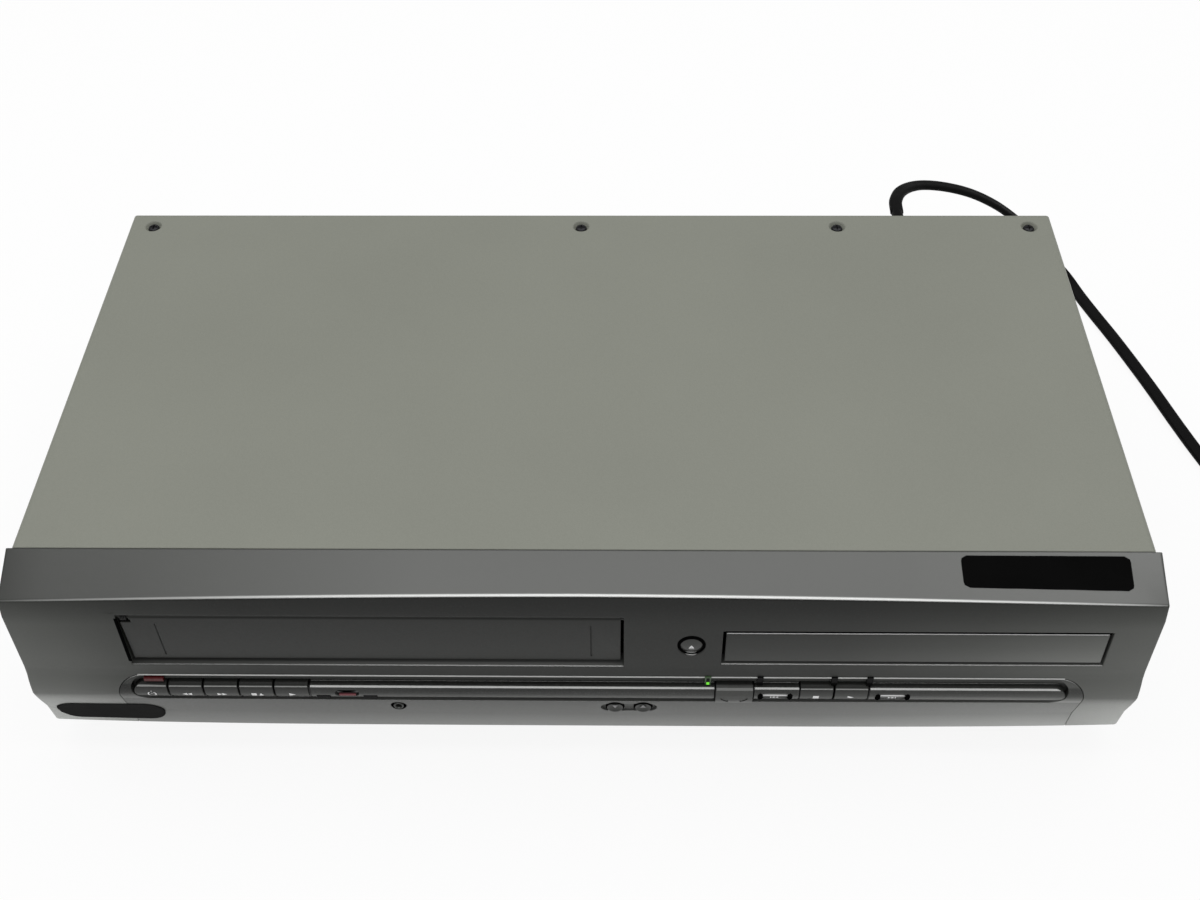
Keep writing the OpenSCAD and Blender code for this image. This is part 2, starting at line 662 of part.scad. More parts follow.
module top_cover() {
  skirt = 1.2;
  vent_w = 2.6;
  vent_pitch = 6;
  vent_h = [30, 58];
  color([0.5, 0.53, 0.52]) in_case() difference() {
    union() {
      difference() {
        cover_form(0.2, cover_d, 0);
        cover_form(-1, cover_d + 1, sheet_t);
        box([-cover_w, -1, -30], [cover_w, cover_d + 1, skirt]);
      }
      // pressed cups of the screw dimples
      for (x = screw_x) rod([x, screw_y, flange_top], dimple_r + sheet_t, body_h - flange_top - 0.2);
    }
    for (x = screw_x) {
      translate([x, screw_y, body_h - dimple_depth])
        cylinder(r1 = screw_d / 2 + 0.2, r2 = dimple_r + 0.01, h = dimple_depth + 0.01);
      rod([x, screw_y, flange_top - 1], screw_shank_r + 0.4, 5);
    }
    for (k = [0:vent_count - 1])
      box([-cover_w, cover_d - 24 - k * vent_pitch - vent_w, vent_h[0]],
          [cover_w, cover_d - 24 - k * vent_pitch, vent_h[1]]);
  }
}

module case_screws() {
  head_t = 1.3;
  seat = body_h - dimple_depth;
  color([0.05, 0.05, 0.055]) in_case() for (x = screw_x) translate([x, screw_y, seat]) difference() {
    union() {
      rotate_extrude() polygon([[0, 0], [screw_d / 2, 0], [screw_d / 2, 0.4], [screw_d / 2 - 0.35, 0.95],
                                [screw_d / 4, head_t], [0, head_t]]);
      rod([0, 0, -5.5], screw_shank_r, 5.6);
    }
    for (a = [0, 90]) rotate([0, 0, a]) box([-1.6, -0.3, head_t - 0.8], [1.6, 0.3, head_t + 1]);
  }
}

module back_panel() {
  half = inner_w / 2;
  color([0.66, 0.67, 0.68]) in_case() difference() {
    union() {
      box([-half, back_y - sheet_t, pan_top], [half, back_y, flange_top]);
      box([-half, back_y - flange_l, flange_top - sheet_t], [half, back_y, flange_top]);
      box([-half + sheet_t + 0.1, back_y - 8, pan_top], [half - sheet_t - 0.1, back_y, pan_top + sheet_t]);
    }
    for (x = screw_x) rod([x, screw_y, flange_top - 2], screw_shank_r + 0.03, 4);
    box([block_x0, back_y - 2, block_h0], [block_x1, back_y + 1, block_h1]);
    for (a = aerial_at) rod([a[0], back_y - 2, a[1]], 5.2, 4, [-90, 0, 0]);
    rod([relief_at[0], back_y - 2, relief_at[1]], relief_hole_r, 4, [-90, 0, 0]);
    // ventilation slots behind the power supply
    for (k = [0:7]) box([70 + k * 7, back_y - 2, 14], [73 + k * 7, back_y + 1, 40]);
  }
}

module antenna_jacks() {
  color([0.78, 0.76, 0.68]) in_case() {
    difference() {
      union() for (a = aerial_at) {
        rod([a[0], back_y - 6, a[1]], 5.2, 6 + 1, [-90, 0, 0]);
        translate([a[0], back_y, a[1]]) rotate([-90, 0, 0]) cylinder(d = 12.5, h = 1.6, $fn = 6);
        rod([a[0], back_y, a[1]], 4.7, back_gap + aerial_out, [-90, 0, 0]);
      }
      for (a = aerial_at) rod([a[0], back_y + 1.8, a[1]], 3.3, 20, [-90, 0, 0]);
      for (a = aerial_at, k = [0:2])
        translate([a[0], back_y + 3.2 + k * 1.6, a[1]]) rotate([-90, 0, 0]) difference() {
          cylinder(r = 5.4, h = 0.5);
          cylinder(r = 4.4, h = 0.5);
        }
    }
    // insulator discs with the centre contact, and the tuner can behind the panel
    for (a = aerial_at) difference() {
      rod([a[0], back_y + 1.6, a[1]], 3.3, 2.6, [-90, 0, 0]);
      rod([a[0], back_y + 1.7, a[1]], 0.6, 5, [-90, 0, 0]);
    }
    box([aerial_x - 15, back_y - 52, 24], [aerial_x + 13, back_y - 5.9, 74]);
  }
}

module jack_block() {
  color([0.07, 0.07, 0.075]) in_case() difference() {
    union() {
      box([block_x0, back_y - 10, block_h0], [block_x1, back_y + block_out, block_h1]);
      box([block_x0 + 2, back_y - 14, board_h + pcb_t], [block_x1 - 2, back_y - 9, block_h0 + 2]);
    }
    for (p = phono_at) rod([p[0], back_y + block_out - 3, p[1]], phono_d / 2, 9, [-90, 0, 0]);
  }
}

// Coloured rings of the phono sockets, seated in the block
module rca_jacks() {
  tone = [[0.85, 0.75, 0.1], [0.9, 0.9, 0.9], [0.75, 0.1, 0.08]];
  in_case() for (i = [0:len(phono_at) - 1]) color(tone[i % 3])
    translate([phono_at[i][0], back_y + block_out - 3, phono_at[i][1]]) rotate([-90, 0, 0]) difference() {
      union() {
        cylinder(r = phono_d / 2, h = 3.4);
        cylinder(r = phono_d / 2 - 0.6, h = 5);
      }
      translate([0, 0, 1]) cylinder(r = phono_d / 2 - 1.1, h = 9);
    }
}

// Strain relief: a bush that snaps into the panel, then a ribbed sleeve that tapers along the cord
relief_root_r = 4.6;
relief_tip_r = 2.7;
module strain_relief() {
  ribs = 8;
  pitch = (relief_l - 8) / ribs;
  function sleeve_r(s) = relief_root_r + (relief_tip_r + 0.9 - relief_root_r) * s;
  color([0.04, 0.04, 0.045]) in_case()
    translate([relief_at[0], back_y, relief_at[1]]) rotate([-90, 0, 0]) {
      translate([0, 0, -4]) cylinder(r = relief_hole_r, h = 4);
      cylinder(r = relief_hole_r + 1.4, h = 2);
      rotate_extrude() polygon(concat([[0, 0], [relief_root_r, 0], [relief_root_r, 3]],
        [for (k = [0:ribs - 1]) let (z = 3 + k * pitch, r = sleeve_r(k / ribs))
          each [[r, z], [r, z + pitch * 0.55], [r - 0.9, z + pitch * 0.62], [r - 0.9, z + pitch * 0.95]]],
        [[relief_tip_r + 0.2, relief_l - 4], [relief_tip_r, relief_l + 2], [0, relief_l + 2]]));
    }
}

// Cord: the stretch from the strain relief to the coil, then the coil, its tie and the plug.
// Its points are places on the table, measured from the middle of the case.
cord_t = 3.4;
coil_at = [354, -12];
coil_h = 10.6;
coil_w = 16;
tie_t = 0.8;
route = [
  [152, 146, 74], [153, 157, 73], [158, 168, 71], [168, 177, 67.5], [182, 182, 63], [198, 185, 56.5],
  [213, 186, 48], [226, 186, 38], [238, 185, 27], [248, 182, 16], [257, 177, 7], [263, 167, 2.4],
  [268, 152, 1.8], [275, 130, 1.8], [284, 98, 1.8], [291, 70, 1.8], [297, 48, 1.8], [304, 26, 1.9],
  [310, 8, 2.2], [314, -10, 2.5]
];

steps = 3;                                        // rings between two route points
function at(list, i) = list[max(0, min(len(list) - 1, i))];
function between(a, b, c, d, t) =
  0.5 * (2 * b + (c - a) * t + (2 * a - 5 * b + 4 * c - d) * t * t + (3 * b - a - 3 * c + d) * t * t * t);
smooth_route = concat(
  [for (i = [0:len(route) - 2], k = [0:steps - 1])
    between(at(route, i - 1), at(route, i), at(route, i + 1), at(route, i + 2), k / steps)],
  [route[len(route) - 1]]);

module power_cord() {
  sides = 8;
  n = len(smooth_route);
  // flat section that lies level, squared to the cord's run
  ring = [for (k = [0:sides - 1]) let (a = 22.5 + 45 * k) [cord_w / 2 * cos(a) / cos(22.5), cord_t / 2 * sin(a) / cos(22.5)]];
  points = [for (i = [0:n - 1])
    let (run = at(smooth_route, i + 1) - at(smooth_route, i - 1),
         ahead = i == 0 ? [0, 1, 0] : run / norm(run),
         across = [ahead[1], -ahead[0], 0] / norm([ahead[0], ahead[1]]),
         up = cross(across, ahead))
    each [for (p = ring) smooth_route[i] + across * p[0] + up * p[1]]];
  skin = [for (i = [0:n - 2], k = [0:sides - 1])
    let (a = i * sides + k, b = i * sides + (k + 1) % sides)
    each [[a, b + sides, b], [a, a + sides, b + sides]]];
  color([0.03, 0.03, 0.03])
    polyhedron(points, concat(skin, [[for (k = [0:sides - 1]) k]], [[for (k = [sides - 1:-1:0]) (n - 1) * sides + k]]));
}

module cord_coil() {
  color([0.03, 0.03, 0.03]) translate([coil_at[0], coil_at[1], tie_t]) rotate_extrude()
    translate([coil_d / 2, coil_h / 2]) union() {
      square([coil_w, coil_h - 5], center = true);
      square([coil_w - 5, coil_h], center = true);
      for (i = [-1, 1], j = [-1, 1]) translate([i * (coil_w / 2 - 2.5), j * (coil_h / 2 - 2.5)]) circle(2.5, $fn = 32);
    }
}

module cord_tie() {
  band = 4;
  slack = 0.1;
  inner_x = coil_d / 2 - coil_w / 2 - slack;
  outer_x = coil_d / 2 + coil_w / 2;
  color([0.12, 0.12, 0.12]) translate([coil_at[0], coil_at[1], 0]) rotate([0, 0, -50]) difference() {
    box([inner_x - tie_t, -band / 2, 0], [outer_x + tie_t, band / 2, coil_h + 2 * tie_t]);
    box([inner_x, -band, tie_t], [outer_x, band, coil_h + tie_t]);
  }
}

// Two-blade plug that lies on the coil
module plug() {
  body = [24, 26, 12];
  blade = [1.5, 17, 6.4];
  blade_gap = 12.7;
  relief = 20;
  corner = 4;
  translate([coil_at[0] + coil_d / 2 - 2, coil_at[1] - 4, coil_h + tie_t]) {
    color([0.04, 0.04, 0.045]) difference() {
      union() {
        linear_extrude(body[2]) union() {
          translate([-body[0] / 2 + corner, 0]) square([body[0] - 2 * corner, body[1]]);
          translate([-body[0] / 2, corner]) square([body[0], body[1] - 2 * corner]);
          for (x = [-1, 1], y = [corner, body[1] - corner]) translate([x * (body[0] / 2 - corner), y]) circle(corner);
        }
        translate([0, -relief, body[2] / 2]) rotate([-90, 0, 0]) cylinder(r1 = 3.4, r2 = 5.4, h = relief + 1);
      }
      for (x = [-1, 1], k = [0:3])
        box([x * body[0] / 2 - 0.7, 7 + k * 3.2, -1], [x * body[0] / 2 + 0.7, 8.4 + k * 3.2, body[2] + 1]);
      for (k = [0:3]) translate([0, -relief + 3 + k * 4, body[2] / 2]) rotate([-90, 0, 0]) difference() {
        cylinder(r = 8, h = 1.4);
        cylinder(r = 3.2 + k * 0.35, h = 1.4);
      }
    }
    color([0.75, 0.76, 0.78]) for (x = [-1, 1])
      box([x * blade_gap / 2 - blade[0] / 2, body[1] - 1, body[2] / 2 - blade[2] / 2],
          [x * blade_gap / 2 + blade[0] / 2, body[1] + blade[1], body[2] / 2 + blade[2] / 2]);
  }
}

// Boards
module main_board() {
  y0 = 134;
  color([0.12, 0.33, 0.16]) in_case() {
    difference() {
      box([main_x0, y0, board_h], [main_x1, back_y - 4, board_h + pcb_t]);
      rod([deck_x1 - 9, 176, board_h - 1], 3.5, 4);
    }
    for (c = [[-150, 146, 3.2, 9], [-138, 146, 3.2, 9], [main_x1 - 18, 150, 4, 11], [main_x1 - 8, 164, 5, 11.5],
              [main_x1 - 18, 176, 3.2, 9]])
      rod([c[0], c[1], board_h + pcb_t - eps], c[2], c[3]);
    for (c = [[-120, 142, 22, 12], [-34, 160, 18, 18], [-60, 172, 14, 10]])
      box([c[0], c[1], board_h + pcb_t - eps], [c[0] + c[2], c[1] + c[3], board_h + pcb_t + 2]);
  }
}

module power_board() {
  color([0.55, 0.42, 0.2]) in_case() {
    box([power_x0, 146, board_h], [power_x1, back_y - 6, board_h + pcb_t]);
    top = board_h + pcb_t - eps;
    // transformer: core and winding
    box([power_x0 + 38, 154, top], [power_x0 + 74, 184, top + 9]);
    box([power_x0 + 43, 150, top + 9 - eps], [power_x0 + 69, 188, top + 26]);
    // reservoir and output capacitors
    for (c = [[94, 160, 9, 34], [114, 154, 5, 20], [14, 182, 5, 20], [26, 182, 4, 16], [126, 154, 4, 16]])
      rod([power_x0 + c[0], c[1], top], c[2], c[3]);
    // finned heat sink
    sink_x = power_x0 + 12;
    box([sink_x, 156, top], [sink_x + 3, 174, top + 34]);
    for (k = [0:3]) box([sink_x + 3 - eps, 156 + k * 5.2, top], [sink_x + 12, 157.6 + k * 5.2, top + 34]);
    box([power_x1 - 18, 170, top], [power_x1 - 4, 186, top + 12]);
  }
}

switch_places = concat(
  [for (k = [0:left_keys - 1]) [strip_x0 + k * key_pitch + (key_pitch - key_gap) / 2, key_h]],
  [for (k = [0, 1]) [disc_keys_x + k * disc_key_pitch + (disc_key_pitch - key_gap) / 2, key_h]],
  [[selector_x + selector_w / 2, key_h], [(record_pill[0] + record_pill[1]) / 2, 30.8]],
  [for (p = [back_pill, forward_pill]) [(p[0] + p[1]) / 2, (pill_h0 + pill_h1) / 2]],
  [eject_at], channel_at);

module front_board() {
  color([0.1, 0.3, 0.15]) in_case() {
    box([-184, board_y, 5], [192, board_y + pcb_t, 40]);
    box([34, board_y, 40 - eps], [50, board_y + pcb_t, eject_at[1] + 6]);
    for (s = switch_places) {
      box([s[0] - 3, board_y - switch_t, s[1] - 3], [s[0] + 3, board_y + eps, s[1] + 3]);
      rod([s[0], board_y - switch_t - plunger_t, s[1]], 1.6, plunger_t + eps, [-90, 0, 0]);
    }
  }
}

// Disc drive
disc_y = 52.7;
drive_x0 = 53.5;
drive_x1 = 204;
drive_y0 = -3;
drive_y1 = 143;
drive_floor = 25;
drive_t = 1.5;
tray_x0 = disc_x - 69;
tray_x1 = disc_x + 69;
tray_low = 50.5;
tray_slab = 53.5;
tray_top = 58.4;
tray_back = 139;
tray_slot_w = 42;
door_back = face_y(door_z) + door_front + 3.2;
rack_x = tray_x0 + 11;
rack_y = -16;
rack_count = 33;
gear_r = tray_module * tray_teeth / 2;
gear_x = rack_x + gear_r;
gear_y = rack_y + 4.5 * PI * tray_module;
gear_t = 3.4;
gear_h = tray_slab - gear_t - 0.9;                // clears the drawer's floor
tooth_play = 0.3;
pivot_y = 122;
pivot_h = 40;
sled_module = 0.8;
sled_teeth = 14;
sled_rack_x = disc_x + 20;
sled_y0 = 68;
sled_rack_y = sled_y0 - 8;
sled_gear_y = sled_rack_y + 10.5 * PI * sled_module;
bridge_h = 64;

module loader_frame() {
  ledge = 6.5;
  color([0.15, 0.15, 0.16]) in_case() difference() {
    union() {
      box([drive_x0, drive_y0, drive_floor], [drive_x1, drive_y1, drive_floor + drive_t]);
      for (x = [drive_x0, drive_x1 - drive_t]) box([x, drive_y0, drive_floor], [x + drive_t, drive_y1, bridge_h + drive_t]);
      for (x = [drive_x0, drive_x1 - drive_t - ledge]) {
        box([x, drive_y0, tray_low - 0.3 - drive_t], [x + ledge + drive_t, drive_y1, tray_low - 0.3]);
        box([x, drive_y0 + 20, tray_top + 0.4], [x + ledge + drive_t, drive_y1, tray_top + 0.4 + drive_t]);
      }
      box([drive_x0, drive_y1 - drive_t, drive_floor], [drive_x1, drive_y1, tray_low - 0.3]);
      // bearings of the traverse pivot
      for (x = [disc_x - 52, disc_x + 46]) box([x, pivot_y - 5, drive_floor], [x + 6, pivot_y + 5, pivot_h + 4]);
      // legs
      for (x = [drive_x0 + 4, drive_x1 - 4], y = [drive_y0 + 14, drive_y1 - 8])
        rod([x, y, pan_top], 3, drive_floor - pan_top + eps);
    }
    box([disc_x - 44, 20, drive_floor - 1], [disc_x + 44, pivot_y + 8, drive_floor + 2]);
    rod([disc_x - 60, pivot_y, pivot_h], 1.5 + pin_play, 120, [0, 90, 0]);
  }
}

module loader_bridge() {
  color([0.7, 0.71, 0.73]) in_case() difference() {
    union() {
      box([drive_x0 + drive_t, disc_y - 16, bridge_h], [drive_x1 - drive_t, disc_y + 16, bridge_h + drive_t]);
      for (x = [drive_x0 + drive_t, drive_x1 - 2 * drive_t])
        box([x, disc_y - 16, tray_top + 0.4 + drive_t], [x + drive_t, disc_y + 16, bridge_h + eps]);
      for (y = [disc_y - 14, disc_y + 12]) box([drive_x0 + 10, y, bridge_h + drive_t - eps], [drive_x1 - 10, y + 2, bridge_h + drive_t + 1.2]);
    }
    rod([disc_x, disc_y, bridge_h - 1], 8, 5);
  }
}

module disc_clamper() {
  low = tray_top + 1.6;
  color([0.2, 0.2, 0.21]) in_case() translate([disc_x, disc_y, low]) rotate_extrude()
    polygon([[8.5, 0], [14.5, 0], [15, 0.5], [15, 2], [6, 2.4], [6, bridge_h - low + drive_t + 0.5],
             [10.5, bridge_h - low + drive_t + 0.5], [10.5, bridge_h - low + drive_t + 1.5],
             [0, bridge_h - low + drive_t + 1.5], [0, 1.2], [8.5, 1.2]]);
}

module disc_tray() {
  well = tray_top - 3;
  small_well = tray_top - 3.9;
  color([0.16, 0.16, 0.17]) in_case() {
    difference() {
      union() {
        box([tray_x0, door_back, tray_slab], [tray_x1, tray_back, tray_top]);
        for (x = [tray_x0, tray_x1 - 2.5]) box([x, door_back, tray_low], [x + 2.5, tray_back, tray_slab + eps]);
        for (x = [disc_x - 40, disc_x + 30]) box([x, door_back, tray_low + 1], [x + 10, door_back + 2.5, tray_slab + eps]);
      }
      rod([disc_x, disc_y, well], disc_d / 2 + 1, 9);
      rod([disc_x, disc_y, small_well], 41, 9);
      rod([disc_x, disc_y, tray_slab - 1], tray_slot_w / 2, 9);
      box([disc_x - tray_slot_w / 2, disc_y, tray_slab - 1], [disc_x + tray_slot_w / 2, tray_back + 1, tray_top + 1]);
      // finger cut-outs beside the disc
      for (x = [tray_x0 - 3, tray_x1 + 3]) rod([x, disc_y, well], 16, 9);
    }
    // drive rack under the left edge
    translate([rack_x, rack_y, gear_h + 0.3]) linear_extrude(tray_slab - gear_h - 0.3 + eps)
      rack_2d(tray_module, rack_count, tooth_play);
  }
}

module tray_door() {
  low = [face_y(door_z) + door_front, door_z];
  top = [face_y(door_z + door_h) + door_front, door_z + door_h];
  r = 1.2;
  color([0.16, 0.16, 0.17]) in_case() {
    along_x(disc_x - door_w / 2, disc_x + door_w / 2)
      polygon(concat([[door_back, door_z], low + [0.4, 0], low + [0, 0.4]],
                     arc(top + [r, -r], r, 180, 90, 6), [[door_back, top[1]]]));
  }
}

module tray_gear() {
  hub_r = 3.6;
  color([0.85, 0.85, 0.82]) in_case() translate([gear_x, gear_y, gear_h]) difference() {
    union() {
      linear_extrude(gear_t) gear_2d(tray_module, tray_teeth, tooth_play);
      translate([0, 0, -1.5]) cylinder(r = hub_r, h = gear_t + 1.5);
    }
    translate([0, 0, -3]) cylinder(r = 1 + pin_play, h = gear_t + 6);
  }
}

module tray_motor() {
  can_r = 9.5;
  can_top = gear_h - 2.2;
  color([0.6, 0.61, 0.63]) in_case() translate([gear_x, gear_y, 0]) {
    rod([0, 0, drive_floor + drive_t], can_r, can_top - drive_floor - drive_t);
    rod([0, 0, can_top - eps], 1, gear_h + gear_t - can_top + 0.5);
  }
}

module traverse() {
  plate_t = 2;
  color([0.3, 0.3, 0.32]) in_case() {
    difference() {
      union() {
        box([disc_x - 40, disc_y - 16, pivot_h - plate_t], [disc_x + 40, pivot_y + 3, pivot_h]);
        box([disc_x - 43, pivot_y - 3.5, pivot_h - 2.6], [disc_x + 43, pivot_y + 3.5, pivot_h + 2.6]);
        for (x = [disc_x - 14, disc_x + 12]) for (y = [sled_y0 - 3.5, pivot_y - 3.5])
          box([x - 2, y, pivot_h - eps], [x + 4, y + 3, pivot_h + 7]);
      }
      box([disc_x - 17, sled_y0 + 1, pivot_h - 3], [disc_x + 17, pivot_y - 5, pivot_h + 1]);
    }
    // pivot pins, slide rods, spindle motor and gear pin
    for (x = [disc_x - 51.5, disc_x + 42.9]) rod([x, pivot_y, pivot_h], 1.5, 8.6, [0, 90, 0]);
    for (x = [disc_x - 13, disc_x + 13]) rod([x, sled_y0 - 3, pivot_h + 4], 1.5, pivot_y - sled_y0 + 1, [-90, 0, 0]);
    rod([disc_x, disc_y, pivot_h - 8], 12, 8 + eps);
    rod([disc_x, disc_y, pivot_h - eps], 10, 7);
    rod([disc_x, disc_y, pivot_h], 1.2, 16.7);
    rod([sled_rack_x + sled_module * sled_teeth / 2, sled_gear_y, pivot_h - eps], 1.2, 6.5);
  }
}

module turntable() {
  low = tray_top - 3.9;
  color([0.1, 0.1, 0.105]) in_case() translate([disc_x, disc_y, low]) difference() {
    rotate_extrude() polygon([[0, -3], [5, -3], [5, 0], [platter_d / 2 - 0.4, 0], [platter_d / 2, 0.4],
      [platter_d / 2, platter_t], [8, platter_t], [7.3, platter_t + 0.4], [6.6, platter_t + 1.9], [0, platter_t + 2]]);
    translate([0, 0, -4]) cylinder(r = 1.2 + pin_play, h = 6.6);
  }
}

module pickup_sled() {
  color([0.35, 0.36, 0.38]) in_case() {
    difference() {
      union() {
        box([disc_x - 16, sled_y0, pivot_h + 1.2], [disc_x + 16, sled_y0 + 24, pivot_h + 8]);
        box([disc_x - 8, sled_y0 + 2, pivot_h + 8 - eps], [disc_x + 8, sled_y0 + 18, pivot_h + 9.8]);
        rod([disc_x, sled_y0 + 9, pivot_h + 9], 4, 2.2);
      }
      for (x = [disc_x - 13, disc_x + 13]) rod([x, sled_y0 - 1, pivot_h + 4], 1.5 + pin_play, 40, [-90, 0, 0]);
      rod([disc_x, sled_y0 + 9, pivot_h + 10.6], 2.6, 3);
    }
    translate([sled_rack_x, sled_rack_y, pivot_h + 3]) linear_extrude(2.4) rack_2d(sled_module, 13, tooth_play);
    box([disc_x + 16 - eps, sled_y0, pivot_h + 3], [sled_rack_x - 1.25 * sled_module, sled_y0 + 24, pivot_h + 5.4]);
  }
}

module sled_gear() {
  color([0.9, 0.9, 0.87]) in_case()
    translate([sled_rack_x + sled_module * sled_teeth / 2, sled_gear_y, pivot_h + 2.6]) difference() {
      union() {
        linear_extrude(3.2) gear_2d(sled_module, sled_teeth, tooth_play);
        translate([0, 0, -1]) cylinder(r = 2.8, h = 4.2);
      }
      translate([0, 0, -3]) cylinder(r = 1.2 + pin_play, h = 9);
    }
}

// Tape deck
deck_low = 18;
deck_top = deck_low + deck_t;
deck_x0 = -183;
deck_x1 = 25;
deck_y1 = 183;
reel_y = 62.7;
reel_x = [slot_x - reel_pitch / 2, slot_x + reel_pitch / 2];
drum_at = [slot_x, 158];
drum_low = 3;                                     // base's lower face above the deck, along the tilted axis
drum_split = 15;
drum_high = 27;
capstan_at = [-28, 134];
capstan_r = 1.5;
arm_at = [-4, 140];
roller_at = [-8, 118];
guide_x = [slot_x - 40, slot_x + 40];
guide_y = 110;
guide_travel = 40;
holder_x0 = slot_x - 97.5;
holder_x1 = slot_x + 97.5;
holder_y0 = 8.2;
holder_l = 50;
holder_low = slot_z - 0.3;
holder_h = 27.4;
holder_travel = 62;
lift_travel = 20;
lift_gap = 1;
holder_pin_h = holder_low + 17.3;
holder_pin_y = [holder_y0 + 8, holder_y0 + holder_l - 8];
lift_y0 = holder_y0;
lift_y1 = 122;
lift_pin_y = [26, 86];
lift_pin_h = 70;
slide_r = 1.5;

module tilted() {
  translate([drum_at[0], drum_at[1], deck_top]) rotate([drum_tilt, 0, 0]) children();
}

module deck_plate() {
  color([0.62, 0.63, 0.66]) in_case() {
    difference() {
      union() {
        box([deck_x0, holder_y0 - 5, deck_low], [deck_x1, deck_y1, deck_top]);
        // columns that guide the lift frame
        for (x = [deck_x0 + 1, deck_x1 - 2.6], y = lift_pin_y)
          box([x, y - 6, deck_top - eps], [x + 1.6, y + 6, lift_pin_h + 8]);
        for (y = [80, 124]) box([deck_x0 + 10, y, deck_top - eps], [deck_x1 - 10, y + 2, deck_top + 0.8]);
      }
      for (y = lift_pin_y)
        box([deck_x0 - 1, y - slide_r - 0.1, lift_pin_h - lift_travel - slide_r - 0.5],
            [deck_x1 + 1, y + slide_r + 0.1, lift_pin_h + slide_r + 0.5]);
      for (x = guide_x) box([x - 2.5, guide_y - 5, deck_low - 1], [x + 2.5, guide_y + guide_travel + 5, deck_top + 1]);
      rod([capstan_at[0], capstan_at[1], deck_low - 1], 3, 5);
    }
    for (x = reel_x) rod([x, reel_y, deck_top - eps], slide_r, 20);
    rod([arm_at[0], arm_at[1], deck_top - eps], 2, 4.6);
    for (x = [deck_x0 + 4, deck_x1 - 9], y = [30, 98, 176]) rod([x, y, pan_top], 3, deck_low - pan_top + eps);
    // bearing of the capstan
    difference() {
      rod([capstan_at[0], capstan_at[1], deck_low - 1.6], 3.6, 6);
      rod([capstan_at[0], capstan_at[1], deck_low - 2], capstan_r + pin_play, 8);
    }
  }
}

module lift_frame() {
  t = 1;
  low = 42;
  cover_room = 8.2;
  top = body_h - sheet_t - cover_room;
  color([0.7, 0.71, 0.73]) in_case() {
    difference() {
      for (x = [holder_x0 - lift_gap - t, holder_x1 + lift_gap]) box([x, lift_y0, low], [x + t, lift_y1, top]);
      box([holder_x0 - 9, holder_pin_y[0] - slide_r - 0.1, holder_pin_h - slide_r - 0.1],
          [holder_x1 + 9, holder_pin_y[1] + holder_travel + slide_r + 0.1, holder_pin_h + slide_r + 0.1]);
      box([holder_x0 - 9, lift_y0 + 20, low + 5], [holder_x1 + 9, lift_y1 - 20, low + 13]);
    }
    box([holder_x0 - lift_gap - t, lift_y1 - 10, top - t], [holder_x1 + lift_gap + t, lift_y1, top]);
    for (y = lift_pin_y) {
      rod([holder_x0 - lift_gap - t - 3, y, lift_pin_h], slide_r, 3 + eps, [0, 90, 0]);
      rod([holder_x1 + lift_gap + t - eps, y, lift_pin_h], slide_r, 3 + eps, [0, 90, 0]);
    }
  }
}

module cassette_holder() {
  t = 0.8;
  lip = 8;
  top = holder_low + holder_h;
  y1 = holder_y0 + holder_l;
  color([0.75, 0.76, 0.78]) in_case() {
    difference() {
      union() {
        box([holder_x0, holder_y0, top - t], [holder_x1, y1, top]);
        for (x = [holder_x0, holder_x1 - t]) box([x, holder_y0, holder_low], [x + t, y1, top]);
        box([holder_x0, holder_y0, holder_low], [holder_x0 + lip, y1, holder_low + t]);
        box([holder_x1 - lip, holder_y0, holder_low], [holder_x1, y1, holder_low + t]);
      }
      for (x = [slot_x - 70, slot_x + 20]) box([x, holder_y0 + 14, top - 2], [x + 50, y1 - 12, top + 1]);
    }
    for (y = holder_pin_y) {
      rod([holder_x0 - lift_gap - 0.8, y, holder_pin_h], slide_r, lift_gap + 0.8 + eps, [0, 90, 0]);
      rod([holder_x1 - eps, y, holder_pin_h], slide_r, lift_gap + 0.8 + eps, [0, 90, 0]);
    }
  }
}

module drum_base() {
  color([0.6, 0.61, 0.63]) in_case() {
    difference() {
      union() {
        tilted() translate([0, 0, drum_low]) cylinder(r = drum_d / 2, h = drum_split - drum_low);
        rod([drum_at[0], drum_at[1], deck_top], 22, 5);
      }
      // helical step that guides the tape, cut as a shallow tilted ledge
      tilted() translate([0, 0, drum_low + 4]) rotate([4, 0, 0]) difference() {
        cylinder(r = drum_d / 2 + 3, h = 3, center = true);
        cylinder(r = drum_d / 2 - 0.5, h = 9, center = true);
      }
    }
    tilted() translate([0, 0, drum_split - eps]) cylinder(r = 3, h = drum_high - drum_split + 2);
  }
}

module head_drum() {
  gap = 0.4;
  color([0.78, 0.79, 0.81]) in_case() tilted() difference() {
    rotate_extrude() polygon([
      [3 + pin_play, drum_split + gap], [drum_d / 2 - 0.5, drum_split + gap], [drum_d / 2, drum_split + gap + 0.5],
      [drum_d / 2, drum_high - 0.6], [drum_d / 2 - 0.6, drum_high], [drum_d / 2 - 8, drum_high],
      [drum_d / 2 - 9, drum_high - 3], [12, drum_high - 3], [11, drum_high], [3 + pin_play, drum_high]]);
    // windows of the four heads
    for (a = [0:90:270]) rotate([0, 0, a]) translate([drum_d / 2 - 2, -1.5, drum_split]) cube([4, 3, 2.6]);
    for (a = [45:90:315]) rotate([0, 0, a]) translate([18, 0, drum_high - 5]) cylinder(r = 1.2, h = 6, $fn = 24);
  }
}

module capstan() {
  color([0.8, 0.8, 0.82]) in_case() translate([capstan_at[0], capstan_at[1], 0]) {
    rod([0, 0, 8.5], capstan_r, 36.5);
    difference() {
      rod([0, 0, 8], 20, 6);
      rod([0, 0, 12], 16, 9);
    }
    rod([0, 0, 11], 5, 5);
  }
}

